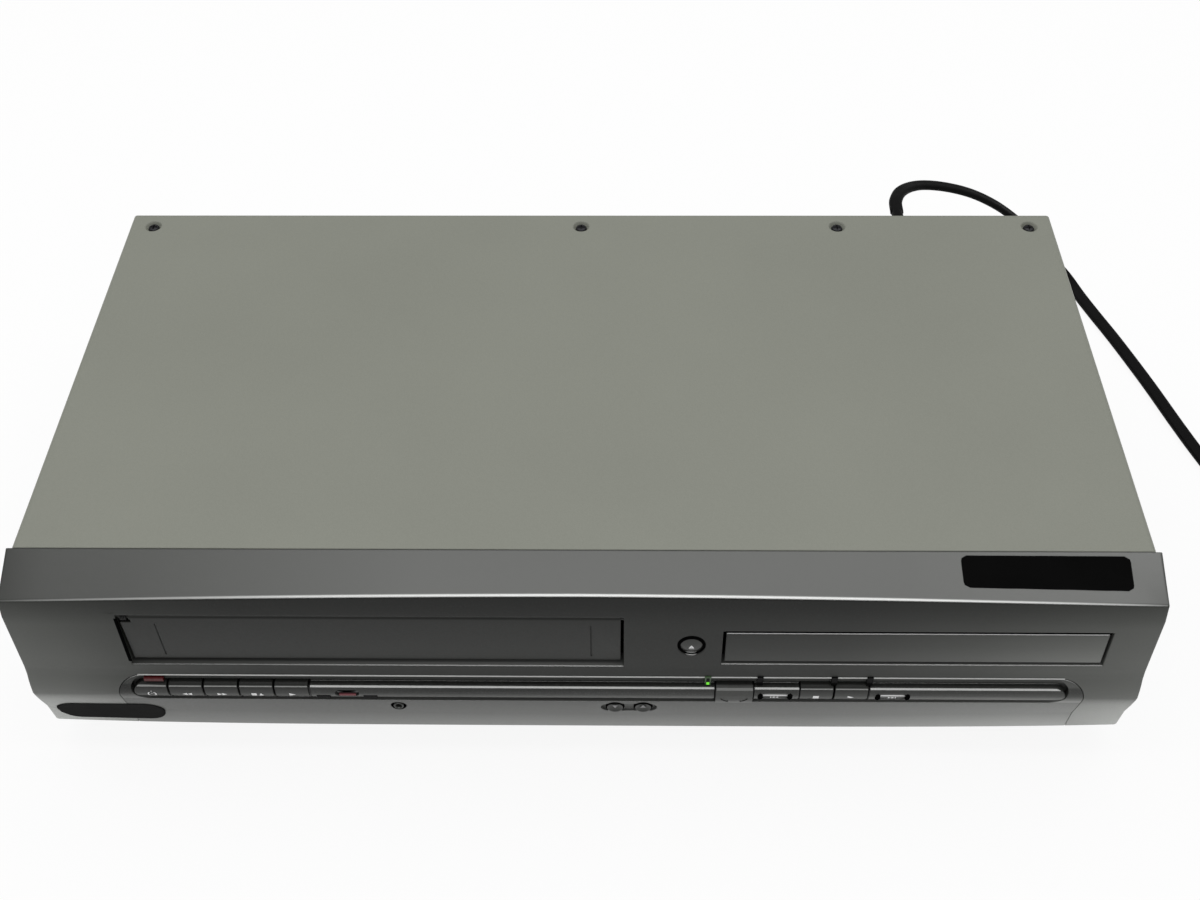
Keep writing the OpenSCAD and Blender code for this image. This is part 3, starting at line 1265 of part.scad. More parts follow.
module pinch_arm() {
  arm = roller_at - arm_at;
  color([0.65, 0.66, 0.68]) in_case() {
    difference() {
      translate([arm_at[0], arm_at[1], deck_top + 1]) union() {
        cylinder(r = 4.4, h = 3.4);
        rotate([0, 0, atan2(arm[1], arm[0])]) translate([0, -2.6, 0]) cube([norm(arm), 5.2, 2]);
      }
      rod([arm_at[0], arm_at[1], deck_top], 2 + pin_play, 9);
    }
    rod([roller_at[0], roller_at[1], deck_top + 1], 2.6, 2);
    rod([roller_at[0], roller_at[1], deck_top + 3 - eps], slide_r, 19);
  }
}

module pinch_roller() {
  color([0.06, 0.06, 0.06]) in_case() difference() {
    rod([roller_at[0], roller_at[1], deck_top + 4], 6, 16);
    rod([roller_at[0], roller_at[1], deck_top + 3], slide_r + pin_play, 30);
  }
}

module reel(x) {
  teeth = 3;
  low = deck_top + 1.2;
  color([0.88, 0.87, 0.82]) in_case() translate([x, reel_y, low]) difference() {
    union() {
      rotate_extrude() polygon([[0, 0], [reel_d / 2 - 0.6, 0], [reel_d / 2, 0.6], [reel_d / 2, 3.4], [reel_d / 2 - 0.6, 4],
        [9, 4], [8, 5], [5.4, 5.4], [5.4, 20], [3.6, 22.4], [0, 22.4]]);
      for (k = [0:teeth - 1]) rotate([0, 0, 120 * k]) translate([4, -0.9, 5]) cube([3.4, 1.8, 13]);
    }
    translate([0, 0, -1]) cylinder(r = slide_r + pin_play, h = 21);
    for (k = [0:5]) rotate([0, 0, 60 * k + 30]) translate([reel_d / 2 - 6, 0, -1]) cylinder(r = 2.4, h = 9, $fn = 24);
  }
}

module supply_reel() reel(reel_x[0]);
module takeup_reel() reel(reel_x[1]);

module tape_guide(x) {
  block_w = 12;
  color([0.72, 0.72, 0.7]) in_case() translate([x, guide_y, 0]) {
    box([-block_w / 2, -4, deck_top + 1], [block_w / 2, 6, deck_top + 4]);
    box([-2.2, -3.6, deck_low - 2], [2.2, 3.6, deck_top + 1 + eps]);
    box([-block_w / 2 + 1, -4, deck_low - 3.4], [block_w / 2 - 1, 4, deck_low - 1]);
    rod([0, 0, deck_top + 4 - eps], 2, 20);
    for (h = [5, 20.6]) rod([0, 0, deck_top + h], 4.6, 1.4);
    rod([0, 0, deck_top + 6.4 - eps], 3.4, 14.4);
  }
}

module supply_guide() tape_guide(guide_x[0]);
module takeup_guide() tape_guide(guide_x[1]);

chassis();
feet();
top_cover();
case_screws();
front_bezel();
control_panel();
sensor_window();
status_lenses();
cassette_flap();
flap_spring();
back_panel();
power_button();
rewind_button();
fast_forward_button();
stop_eject_button();
vcr_play_button();
record_button();
output_selector_button();
skip_back_button();
dvd_stop_button();
dvd_play_button();
skip_forward_button();
open_close_button();
channel_down_button();
channel_up_button();
antenna_jacks();
jack_block();
rca_jacks();
strain_relief();
power_cord();
cord_coil();
cord_tie();
plug();
main_board();
power_board();
front_board();
loader_frame();
loader_bridge();
disc_clamper();
disc_tray();
tray_door();
tray_gear();
tray_motor();
traverse();
turntable();
pickup_sled();
sled_gear();
deck_plate();
lift_frame();
cassette_holder();
drum_base();
head_drum();
capstan();
pinch_arm();
pinch_roller();
supply_reel();
takeup_reel();
supply_guide();
takeup_guide();
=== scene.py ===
import math
import bpy
import bmesh
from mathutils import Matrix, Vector


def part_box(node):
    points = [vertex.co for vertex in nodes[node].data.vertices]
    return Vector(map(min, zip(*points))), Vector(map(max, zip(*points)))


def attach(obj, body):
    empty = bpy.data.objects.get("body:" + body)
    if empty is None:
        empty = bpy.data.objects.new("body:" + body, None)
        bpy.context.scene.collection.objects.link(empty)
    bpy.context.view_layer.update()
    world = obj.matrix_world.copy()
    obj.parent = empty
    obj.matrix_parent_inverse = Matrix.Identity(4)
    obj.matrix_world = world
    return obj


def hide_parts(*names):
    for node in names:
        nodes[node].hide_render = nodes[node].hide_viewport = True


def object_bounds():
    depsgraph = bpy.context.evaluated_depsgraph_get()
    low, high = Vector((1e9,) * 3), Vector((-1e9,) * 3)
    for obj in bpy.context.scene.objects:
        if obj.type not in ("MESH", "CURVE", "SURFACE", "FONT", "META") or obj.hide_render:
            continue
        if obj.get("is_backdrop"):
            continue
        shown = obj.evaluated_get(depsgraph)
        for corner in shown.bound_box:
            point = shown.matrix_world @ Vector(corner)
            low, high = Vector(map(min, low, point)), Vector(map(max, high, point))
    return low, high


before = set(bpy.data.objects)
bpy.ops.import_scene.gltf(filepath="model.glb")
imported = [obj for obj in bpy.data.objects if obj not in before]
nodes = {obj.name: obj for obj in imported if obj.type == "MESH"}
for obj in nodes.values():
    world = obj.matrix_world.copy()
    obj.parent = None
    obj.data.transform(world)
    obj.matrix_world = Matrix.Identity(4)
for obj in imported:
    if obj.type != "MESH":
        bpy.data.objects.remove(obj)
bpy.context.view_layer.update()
scene = bpy.context.scene
# Lengths are in mm, times MM where Blender takes them. Only the camera and the studio are in metres.
MM = 0.001

# ---------------------------------------------------------------- camera
CAMERA_AT = (0.0151, -0.4334, 0.5221)             # metres, solved from the case's corners in the photograph
CAMERA_TURN = (42.97, 0.51, 0.68)                 # degrees
SENSOR_W = 36
LENS = 43.44

cam = bpy.data.cameras.new("camera")
cam_obj = bpy.data.objects.new("camera", cam)
scene.collection.objects.link(cam_obj)
cam_obj.location = CAMERA_AT
cam_obj.rotation_euler = [math.radians(a) for a in CAMERA_TURN]
cam.sensor_width = SENSOR_W
cam.lens = LENS
cam.clip_start = 0.01
cam.clip_end = 50
scene.camera = cam_obj


# ---------------------------------------------------------------- colours and shader nodes
MIX_A, MIX_B, MIX_OUT = 6, 7, 2                   # colour sockets of the mix node
NOISE_ROUGH = 0.55
COAT_ROUGH = 0.25
BEVEL_SAMPLES = 6
GAIN_MAX = 4.0                                    # the gain that a ramp's full white stands for
SEAM_BLUR = 0.1                                   # width over which the painted shade of a gap fades


def srgb(r, g=None, b=None):
    """Linear colour of 0-255 display values."""
    vals = (r, r if g is None else g, r if b is None else b)
    return tuple(((v / 255 + 0.055) / 1.055) ** 2.4 if v > 10 else v / 255 / 12.92 for v in vals)


def grey(v):
    """Neutral grey of the front's paint, from a display value."""
    return srgb(v, v + 1, v - 1)


def scaled(color, share, add=0.0):
    """Colour times a share, with at most 1 in each channel."""
    return [min(1, c * share + add) for c in color]


class Shader:
    """A principled material with the small set of nodes used below. Noise scales are per metre."""

    def __init__(self, name, color, rough=0.5, metal=0.0, spec=0.5, coat=0.0):
        self.mat = bpy.data.materials.new(name)
        self.mat.use_nodes = True
        self.tree = self.mat.node_tree
        self.bsdf = self.tree.nodes["Principled BSDF"]
        self.color = color
        self.rough = rough
        values = {"Base Color": (*color, 1), "Roughness": rough, "Metallic": metal, "Specular IOR Level": spec,
                  "Coat Weight": coat, "Coat Roughness": COAT_ROUGH}
        for socket, value in values.items():
            self.bsdf.inputs[socket].default_value = value
        self.coord = self.node("ShaderNodeTexCoord").outputs["Object"]

    def node(self, kind, **props):
        n = self.tree.nodes.new(kind)
        for k, v in props.items():
            setattr(n, k, v)
        return n

    def put(self, socket, value):
        if isinstance(value, bpy.types.NodeSocket):
            self.tree.links.new(value, socket)
        else:
            socket.default_value = value

    def paint(self, color):
        """Use a node's colour as the base colour."""
        self.put(self.bsdf.inputs["Base Color"], color)

    def noise(self, scale, detail=3.0, stretch=None):
        n = self.node("ShaderNodeTexNoise")
        n.inputs["Scale"].default_value = scale
        n.inputs["Detail"].default_value = detail
        n.inputs["Roughness"].default_value = NOISE_ROUGH
        place = self.coord
        if stretch:
            m = self.node("ShaderNodeMapping")
            self.put(m.inputs["Vector"], self.coord)
            m.inputs["Scale"].default_value = stretch
            place = m.outputs["Vector"]
        self.put(n.inputs["Vector"], place)
        return n.outputs["Fac"]

    def remap(self, value, a, b, c=0.0, d=1.0):
        n = self.node("ShaderNodeMapRange")
        self.put(n.inputs["Value"], value)
        for i, v in zip(("From Min", "From Max", "To Min", "To Max"), (a, b, c, d)):
            n.inputs[i].default_value = v
        return n.outputs["Result"]

    def cloud(self, scale, detail=3.0, stretch=None, low=0.0, high=1.0):
        """Noise spread over low to high."""
        return self.remap(self.noise(scale, detail, stretch), 0.3, 0.7, low, high)

    def math(self, op, a, b=0.0):
        n = self.node("ShaderNodeMath", operation=op)
        self.put(n.inputs[0], a)
        self.put(n.inputs[1], b)
        return n.outputs[0]

    def axis(self, name):
        n = self.node("ShaderNodeSeparateXYZ")
        self.put(n.inputs[0], self.coord)
        return n.outputs[name]

    def mix(self, fac, a, b):
        n = self.node("ShaderNodeMix", data_type="RGBA")
        self.put(n.inputs[0], fac)
        for i, v in ((MIX_A, a), (MIX_B, b)):
            self.put(n.inputs[i], v if isinstance(v, bpy.types.NodeSocket) else (*v, 1))
        return n.outputs[MIX_OUT]

    def tint(self, amount, scale, detail=4.0, stretch=None):
        """Let the base colour wander by a share of itself."""
        share = self.cloud(scale, detail, stretch)
        self.paint(self.mix(share, scaled(self.color, 1 - amount), scaled(self.color, 1 + amount)))

    def roughen(self, amount, scale):
        """Let the roughness wander by an amount to both sides."""
        value = self.cloud(scale, 4, low=self.rough - amount, high=self.rough + amount)
        self.put(self.bsdf.inputs["Roughness"], value)

    def relief(self, scale, depth, detail=2.0, edge=0.0, stretch=None):
        """Fine surface relief of a depth in mm, with edges softened over a radius in mm."""
        b = self.node("ShaderNodeBump")
        b.inputs["Strength"].default_value = 1.0
        b.inputs["Distance"].default_value = depth * MM
        self.put(b.inputs["Height"], self.noise(scale, detail, stretch))
        if edge:
            v = self.node("ShaderNodeBevel", samples=BEVEL_SAMPLES)
            v.inputs["Radius"].default_value = edge * MM
            self.soft = v.outputs["Normal"]
            self.put(b.inputs["Normal"], self.soft)
        self.put(self.bsdf.inputs["Normal"], b.outputs["Normal"])

    def facing(self, direction, lo, hi):
        """0 to 1 as the softened surface turns toward a direction."""
        d = self.node("ShaderNodeVectorMath", operation="DOT_PRODUCT")
        self.put(d.inputs[0], self.soft)
        d.inputs[1].default_value = direction
        return self.remap(d.outputs["Value"], lo, hi)

    def ramp(self, axis, stops):
        """Colour ramp along an axis; stops are places in mm and colours."""
        first, last = stops[0][0], stops[-1][0]
        n = self.node("ShaderNodeValToRGB")
        self.put(n.inputs["Fac"], self.remap(self.axis(axis), first * MM, last * MM))
        e = n.color_ramp.elements
        while len(e) < len(stops):
            e.new(0.5)
        for k, (at, color) in enumerate(stops):
            e[k].position = (at - first) / (last - first)
            e[k].color = (*color, 1)
        return n.outputs["Color"]

    def greys(self, axis, stops):
        """Greys along an axis; stops are places in mm and display values."""
        return self.ramp(axis, [(at, grey(v)) for at, v in stops])

    def gain(self, color, across):
        """Colour times a gain that follows the width; across holds places in mm and gains."""
        share = self.ramp("X", [(x, (g / GAIN_MAX,) * 3) for x, g in across])
        n = self.node("ShaderNodeVectorMath", operation="SCALE")
        self.put(n.inputs[0], color)
        self.put(n.inputs["Scale"], self.math("MULTIPLY", share, GAIN_MAX))
        return n.outputs["Vector"]

    def lines(self, lines, low, high):
        """1 on upright lines, each a middle and half a width, between two heights; all in mm."""
        near = None
        for x, half in lines:
            off = self.math("ABSOLUTE", self.math("SUBTRACT", self.axis("X"), x * MM))
            inside = self.math("SUBTRACT", half * MM, off)
            near = inside if near is None else self.math("MAXIMUM", near, inside)
        z = self.axis("Z")
        above = self.math("GREATER_THAN", z, low * MM)
        below = self.math("LESS_THAN", z, high * MM)
        level = self.math("MULTIPLY", above, below)
        return self.math("MULTIPLY", self.remap(near, 0.0, SEAM_BLUR * MM), level)


# ---------------------------------------------------------------- kinds of material
def simple(name, color, rough=0.5, metal=0.0, tint=0.06, scale=60, grain=900, depth=0.02, edge=0.3, spec=0.5):
    """Plain plastic, rubber or ink with a slightly uneven tone, gloss and grain."""
    s = Shader(name, color, rough, metal, spec)
    s.tint(tint, scale)
    s.roughen(min(0.08, rough * 0.3), scale * 2.3)
    s.relief(grain, depth, edge=edge)
    return s.mat


def texture_paint(name, color):
    """Sprayed texture paint: a fine, slightly sparkling grain with soft clouding."""
    s = Shader(name, color, rough=0.46, spec=0.45)
    ground = s.mix(s.cloud(9), scaled(color, 0.965), scaled(color, 1.035))
    sparkle = s.math("MULTIPLY", s.remap(s.noise(2600, 2), 0.35, 0.65), 0.10)
    s.paint(s.mix(sparkle, ground, scaled(color, 1.7)))
    s.roughen(0.07, 700)
    s.relief(1500, 0.06, detail=3, edge=1.2)
    return s.mat


def flake_paint(name, color, rough=0.42, metal=0.1, spec=0.22, edge=0.5, stops=None, across=None, top=None,
                highlight_color=None, highlight_way=(0.0, -0.55, 0.835), band=(0.93, 0.99), highlight_y=None, gap_shade=None,
                gap_shade_z=(0, 99)):
    """Metallic plastic paint. Its tone may follow the height (stops), as painted shade and reflection,
    and its gain the width (across), as painted light, such as the stronger light on the curved ends.
    Surfaces that face up may take other tones across the width (top), as painted light. Rounded edges
    that face highlight_way take a painted highlight (highlight_color, a colour or stops across the
    width), maybe only ahead of a line (highlight_y). Upright lines between two heights may take
    painted shade of gaps (gap_shade, gap_shade_z)."""
    s = Shader(name, color, rough=rough, metal=metal, spec=spec)
    s.roughen(0.05, 900)
    s.relief(1800, 0.012, edge=edge)
    # tones up the height: painted shade and painted reflection
    if stops:
        base = s.mix(s.cloud(14, high=0.1), s.greys("Z", stops), color)
    else:
        base = s.mix(s.cloud(14), scaled(color, 0.95), scaled(color, 1.05))
    # gain across the width: painted light
    if across:
        base = s.gain(base, across)
    # tones on surfaces that face up: painted light
    if top:
        base = s.mix(s.facing((0.0, 0.0, 1.0), 0.80, 0.93), base, s.greys("X", top))
    flake = s.math("MULTIPLY", s.remap(s.noise(3200, 1), 0.52, 0.70), 0.10)
    base = s.mix(flake, base, scaled(color, 2.6, 0.02))
    # painted highlight on rounded edges that face one way
    if highlight_color:
        mask = s.facing(highlight_way, *band)
        if highlight_y:
            mask = s.math("MULTIPLY", mask, s.remap(s.axis("Y"), highlight_y[0] * MM, highlight_y[1] * MM))
        base = s.mix(mask, base, s.greys("X", highlight_color) if isinstance(highlight_color, list) else highlight_color)
    # painted shade of the gaps along upright lines
    if gap_shade:
        base = s.mix(s.lines(gap_shade, *gap_shade_z), base, srgb(6))
    s.paint(base)
    return s.mat


def steel(name, color, rough=0.34, stretch=(1, 40, 1), spangle=True):
    """Zinc-coated sheet with its spangle, or metal brushed along the stretch."""
    s = Shader(name, color, rough=rough, metal=1.0)
    s.tint(0.10, 45 if spangle else 300, 3, None if spangle else stretch)
    s.roughen(0.09, 60)
    s.relief(500, 0.015, stretch=stretch, edge=0.3)
    return s.mat


def board(name, mask, copper):
    """Circuit board: solder mask with the darker pattern of its tracks."""
    s = Shader(name, mask, rough=0.35, spec=0.5, coat=0.2)
    n = s.node("ShaderNodeTexBrick")
    s.put(n.inputs["Vector"], s.coord)
    n.inputs["Scale"].default_value = 110
    n.inputs["Mortar Size"].default_value = 0.035
    for socket, color in (("Color1", mask), ("Color2", scaled(mask, 0.75)), ("Mortar", copper)):
        n.inputs[socket].default_value = (*color, 1)
    s.paint(n.outputs["Color"])
    s.relief(400, 0.02)
    return s.mat


def banded(name, axis, edges, colors, rough=0.4):
    """Colours that change at places along an axis, in mm, for parts moulded or filled in several colours."""
    s = Shader(name, colors[0], rough)
    out = s.mix(s.cloud(80), scaled(colors[0], 0.94), scaled(colors[0], 1.04))
    for edge, color in zip(edges, colors[1:]):
        out = s.mix(s.math("GREATER_THAN", s.axis(axis), edge * MM), out, color)
    s.paint(out)
    s.roughen(0.06, 120)
    s.relief(900, 0.01, edge=0.2)
    return s.mat


def glow(name, color, strength):
    """Lit lens of a lamp."""
    s = Shader(name, color, 0.3)
    s.tint(0.1, 300)
    s.bsdf.inputs["Emission Color"].default_value = (*color, 1)
    s.bsdf.inputs["Emission Strength"].default_value = strength
    return s.mat


# ---------------------------------------------------------------- mesh helpers
WELD = 0.002
SHARP_ANGLE = 24


def span(node):
    """Lower and upper corner of a node at rest, in mm."""
    lo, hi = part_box(node)
    return Vector(lo) / MM, Vector(hi) / MM


def mesh_object(name, verts, faces, mat, body, smooth=False):
    """A piece that rides on a body, from vertices in metres."""
    me = bpy.data.meshes.new(name)
    me.from_pydata([tuple(v) for v in verts], [], faces)
    me.validate()
    bm = bmesh.new()
    bm.from_mesh(me)
    bmesh.ops.recalc_face_normals(bm, faces=bm.faces)
    bm.to_mesh(me)
    bm.free()
    if smooth:
        me.polygons.foreach_set("use_smooth", [True] * len(me.polygons))
    o = bpy.data.objects.new(name, me)
    scene.collection.objects.link(o)
    me.materials.append(mat)
    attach(o, body)
    return o


def smooth_group():
    """Modifier tree: welds the tessellation and shades it smooth except over real edges."""
    g = bpy.data.node_groups.new("smooth_by_angle", "GeometryNodeTree")
    g.interface.new_socket("Geometry", in_out="INPUT", socket_type="NodeSocketGeometry")
    g.interface.new_socket("Geometry", in_out="OUTPUT", socket_type="NodeSocketGeometry")
    chain = g.nodes.new("NodeGroupInput").outputs[0]
    weld = g.nodes.new("GeometryNodeMergeByDistance")
    weld.inputs["Distance"].default_value = WELD * MM
    drop = g.nodes.new("GeometryNodeRemoveAttribute")
    drop.inputs["Name"].default_value = "custom_normal"
    faces = g.nodes.new("GeometryNodeSetShadeSmooth")
    edges = g.nodes.new("GeometryNodeSetShadeSmooth")
    edges.domain = "EDGE"
    edges.inputs["Shade Smooth"].default_value = False
    angle = g.nodes.new("GeometryNodeInputMeshEdgeAngle")
    over = g.nodes.new("FunctionNodeCompare")
    over.operation = "GREATER_THAN"
    over.inputs[1].default_value = math.radians(SHARP_ANGLE)
    g.links.new(angle.outputs[0], over.inputs[0])
    g.links.new(over.outputs[0], edges.inputs["Selection"])
    for n in (weld, drop, faces, edges):
        g.links.new(chain, n.inputs["Geometry"])
        chain = n.outputs["Geometry"]
    g.links.new(chain, g.nodes.new("NodeGroupOutput").inputs[0])
    return g


# ---------------------------------------------------------------- materials
NOSE = span("control_panel")[0].y                 # foremost line of the front
LEFT_KEYS, KEY_PITCH = 5, 13.9
DISC_EDGES, DISC_KEY_PITCH = 3, 13.5
SEAM_HALF = 0.42
SEAM_SHIFT = 0.15                                 # from a key's left edge back to the middle of its seam
PHONO_X = -165
PHONO_PITCH = 14
PIN_LENGTH = 17.2                                 # the plug's bare pins

flap_x0, flap_x1 = (corner.x for corner in span("cassette_flap"))
selector_x0, selector_x1 = (corner.x for corner in span("output_selector_button"))
plug_lo, plug_hi = span("plug")

# tones of the front that paint its shade, reflection and light: (place, display value) pairs up the height
# or across the width, and gains across it
face_painted_light = [(10, 112), (20, 102), (34, 84), (40, 58), (52, 50), (60, 50), (80, 44), (90, 28), (97, 20)]
face_light_gain = [(-215, 3.8), (-200, 3.4), (-165, 1.7), (-125, 1.0), (50, 0.95), (100, 1.15), (150, 2.0),
             (200, 3.5), (215, 3.95)]
# painted light on the visor's top, lighter to the right; painted highlight along the crest
top_painted_light = [(-217, 74), (-170, 78), (-60, 101), (120, 104), (217, 118)]
crest_highlight = [(-217, 150), (-150, 185), (-90, 235), (-20, 255), (120, 255), (217, 235)]
crest_highlight_y = (NOSE + 7.0, NOSE + 6.4)                # the painted highlight fades in here, on the visor's front edge
# tones that paint the floor's reflection low down and the shade in the recess over the strip
panel_painted_light = [(9, 176), (16, 150), (23, 120), (35.5, 98), (36.4, 126), (38.5, 92), (41, 58), (43, 36),
              (45, 36), (46.4, 66), (50, 60)]
# painted light, stronger on the right end
panel_light_gain = [(-180, 0.88), (0, 1.0), (90, 1.05), (180, 1.6)]
key_painted_light = [(36.2, 132), (38.5, 96), (41, 64), (44, 38), (48, 38)]
selector_painted_light = [(35.3, 132), (37, 104), (40, 76), (45, 66)]
# the way that the painted highlight on the strip's and keys' edges faces
low_highlight_way = (0.0, -0.8, 0.6)

# painted shade in the gaps between the keys of the strip, and at the selector's ends
key_edges = [span("power_button")[0].x + KEY_PITCH * (k + 1) for k in range(LEFT_KEYS)]
key_edges += [span("dvd_stop_button")[0].x + DISC_KEY_PITCH * k for k in range(DISC_EDGES)]
strip_gap_shade = [(x - SEAM_SHIFT, SEAM_HALF) for x in key_edges] + [(selector_x0, 0.45), (selector_x1, 0.45)]

cover_mat = texture_paint("cover_texture_paint", srgb(126, 128, 118))
# painted shade and reflection up the front, painted light across it and on top, painted crest highlight
bezel_mat = flake_paint("bezel_metallic", grey(52), edge=0.9, stops=face_painted_light, across=face_light_gain, top=top_painted_light,
                        highlight_color=crest_highlight, highlight_y=crest_highlight_y)
# painted reflection and shade up the panel, painted light across it, painted edge highlight and gap shade
panel_mat = flake_paint("panel_metallic", grey(104), edge=0.4, stops=panel_painted_light, across=panel_light_gain,
                        highlight_color=grey(245), highlight_way=low_highlight_way, band=(0.955, 0.995), gap_shade=strip_gap_shade,
                        gap_shade_z=(36.5, 46.2))
# painted reflection, lighter towards the bottom, painted edge highlight and painted shade in its end gaps
flap_mat = flake_paint("flap_satin", grey(48), stops=[(56, 66), (62, 54), (84, 36)], highlight_color=grey(78),
                       gap_shade=[(flap_x0, 1.5), (flap_x1, 0.5)], gap_shade_z=(50, 84.2))
# painted reflection, lighter towards the bottom, painted light across it, white painted highlight on top edge
door_mat = flake_paint("door_satin", grey(56), edge=0.7, stops=[(59, 72), (68, 58), (77, 48)],
                       across=face_light_gain, highlight_color=srgb(255), highlight_way=(0.0, -0.6, 0.8), band=(0.86, 0.94))
# painted reflection lighter low down, painted light across, painted highlight on top edges, gap shade
key_mat = flake_paint("key_satin", grey(70), edge=0.4, stops=key_painted_light, across=panel_light_gain, highlight_color=grey(190),
                      highlight_way=low_highlight_way, band=(0.95, 0.99), gap_shade=strip_gap_shade, gap_shade_z=(36.5, 46.4))
# painted reflection lighter low down and painted highlight on its edges
selector_mat = flake_paint("selector_satin", grey(84), edge=0.4, stops=selector_painted_light, highlight_color=grey(135),
                           highlight_way=low_highlight_way, band=(0.92, 0.98))
dark_key_mat = flake_paint("round_key_satin", grey(58), rough=0.35, edge=0.3, spec=0.3)
# painted highlight on the caps' rounded rims
cap_mat = flake_paint("cap_satin", grey(70), rough=0.36, edge=0.3, spec=0.3, highlight_color=grey(150))
# light grey that paints the highlight along the recess's lip
highlight_bead_mat = flake_paint("painted_highlight_bead", grey(200), rough=0.35, metal=0.3, spec=0.4)

dark_plastic = simple("moulded_dark", srgb(34), tint=0.08, scale=70, grain=1200)
gloss_black = simple("filter_gloss", srgb(46), tint=0.1, scale=40, grain=300, depth=0.004, edge=0.2, spec=0.0)
rubber = simple("foot_rubber", srgb(24), 0.75, tint=0.15, scale=120, grain=1500, depth=0.05, edge=0.4)
screw_mat = simple("screw_black_oxide", srgb(30, 30, 33), 0.34, metal=0.6, tint=0.2, scale=400, grain=2500,
                   depth=0.01, edge=0.2)
spring_mat = simple("spring_black", srgb(26), metal=0.3, tint=0.1, scale=300, grain=2500, depth=0.005, edge=0)
cord_mat = simple("cord_pvc", srgb(13), tint=0.15, scale=90, grain=2500, depth=0.01, edge=0, spec=0.06)
acetal = simple("acetal", srgb(226, 224, 214), 0.42, tint=0.04, scale=80, depth=0.015)
jack_black = simple("jack_block", srgb(26), tint=0.1, scale=100, grain=1600, depth=0.03)
# near black for plates that paint the shade in hollows, gaps and grooves
shade_mat = simple("painted_shade", srgb(8), 0.6, tint=0.1, scale=100, depth=0.01, edge=0, spec=0.0)
label_mat = simple("label_laminate", srgb(13), tint=0.12, scale=60, grain=420, depth=0.01, edge=0, spec=0.0)
record_bar = simple("record_bar", srgb(128, 62, 68), tint=0.1, scale=300, grain=1500, depth=0.004, edge=0.1)
ink = simple("mark_ink", srgb(252), tint=0.05, scale=900, grain=2500, depth=0.004, edge=0)
ink_dim = simple("mark_ink_dim", srgb(150), tint=0.05, scale=900, grain=2500, depth=0.004, edge=0)

lens_dark = simple("lens_smoked", srgb(12, 11, 11), 0.3, tint=0.1, scale=200, grain=500, depth=0.004, edge=0.2,
                   spec=0.05)
lamp_dark = simple("lamp_window", srgb(9), 0.3, tint=0.1, scale=200, grain=500, depth=0.004, edge=0.1,
                   spec=0.04)
lamp_red = simple("lamp_window_red", srgb(84, 30, 32), 0.3, tint=0.2, scale=900, grain=500, depth=0.004,
                  edge=0.1, spec=0.2)
green_ring = glow("lamp_green_rim", srgb(34, 62, 22), 0.25)
green_dot = glow("lamp_green", srgb(96, 196, 40), 0.9)

pan_mat = steel("zinc_sheet", srgb(176, 178, 178), 0.38)
inner_steel = steel("spring_steel", srgb(190, 192, 195), 0.3, spangle=False)
nickel = steel("nickel_plating", srgb(206, 200, 180), 0.2, spangle=False)
chrome = steel("ground_shaft", srgb(214, 215, 218), 0.12, spangle=False)
drum_mat = steel("turned_aluminium", srgb(205, 207, 210), 0.22, stretch=(1, 1, 60), spangle=False)
tan_board = board("board_laminate", srgb(150, 118, 72), srgb(120, 90, 50))
green_board = board("board_green", srgb(38, 92, 52), srgb(30, 70, 40))
ring_edges = [PHONO_X + PHONO_PITCH * (i + 0.5) for i in range(4)]
ring_tones = [srgb(214, 186, 40), srgb(226, 226, 222), srgb(176, 34, 30), srgb(40, 120, 60), srgb(36, 70, 160)]
ring_mat = banded("phono_rings", "X", ring_edges, ring_tones, 0.32)
# black key with a grey band that paints a highlight across it
record_highlight_mat = banded("record_key", "Z", [40.3, 40.7], [srgb(12), srgb(110), srgb(12)], 0.45)
# near-white band paints the highlight on the key's top edge, the dark band over it the gap's shade
pill_highlight_mat = banded("pill_key", "Z", [39.2, 40.0, 40.4], [grey(92), srgb(250), srgb(60), grey(92)], 0.45)
plug_mat = banded("plug_moulding", "Y", [plug_hi.y - PIN_LENGTH], [srgb(22), srgb(190, 190, 188)], 0.38)

node_paint = {
    "top_cover": cover_mat, "front_bezel": bezel_mat, "control_panel": panel_mat, "cassette_flap": flap_mat,
    "tray_door": door_mat, "sensor_window": gloss_black, "feet": rubber, "case_screws": screw_mat,
    "chassis": pan_mat, "deck_plate": pan_mat, "back_panel": pan_mat, "status_lenses": lens_dark,
    "flap_spring": spring_mat, "lift_frame": inner_steel, "cassette_holder": inner_steel,
    "loader_bridge": inner_steel, "tray_motor": inner_steel, "pinch_arm": inner_steel, "antenna_jacks": nickel,
    "jack_block": jack_black, "rca_jacks": ring_mat, "strain_relief": cord_mat, "cord_tie": cord_mat,
    "plug": plug_mat, "main_board": green_board, "front_board": green_board, "power_board": tan_board,
    "head_drum": drum_mat, "drum_base": drum_mat, "capstan": chrome, "pinch_roller": rubber,
    "record_button": record_highlight_mat, "open_close_button": dark_key_mat, "channel_down_button": dark_key_mat,
    "channel_up_button": dark_key_mat, "skip_back_button": pill_highlight_mat, "skip_forward_button": pill_highlight_mat,
}
for n in ("loader_frame", "disc_clamper", "disc_tray", "traverse", "pickup_sled", "turntable"):
    node_paint[n] = dark_plastic
for n in ("tray_gear", "sled_gear", "supply_reel", "takeup_reel", "supply_guide", "takeup_guide"):
    node_paint[n] = acetal

smooth_tree = smooth_group()
for n, o in nodes.items():
    mat = node_paint.get(n, key_mat if n.endswith("_button") else None)
    if mat is None:                               # the cord's plain solids, which mains_cord replaces
        continue
    if not o.data.materials:
        o.data.materials.append(mat)
    for i in range(len(o.data.materials)):
        o.data.materials[i] = mat
    o.modifiers.new("smooth", "NODES").node_group = smooth_tree


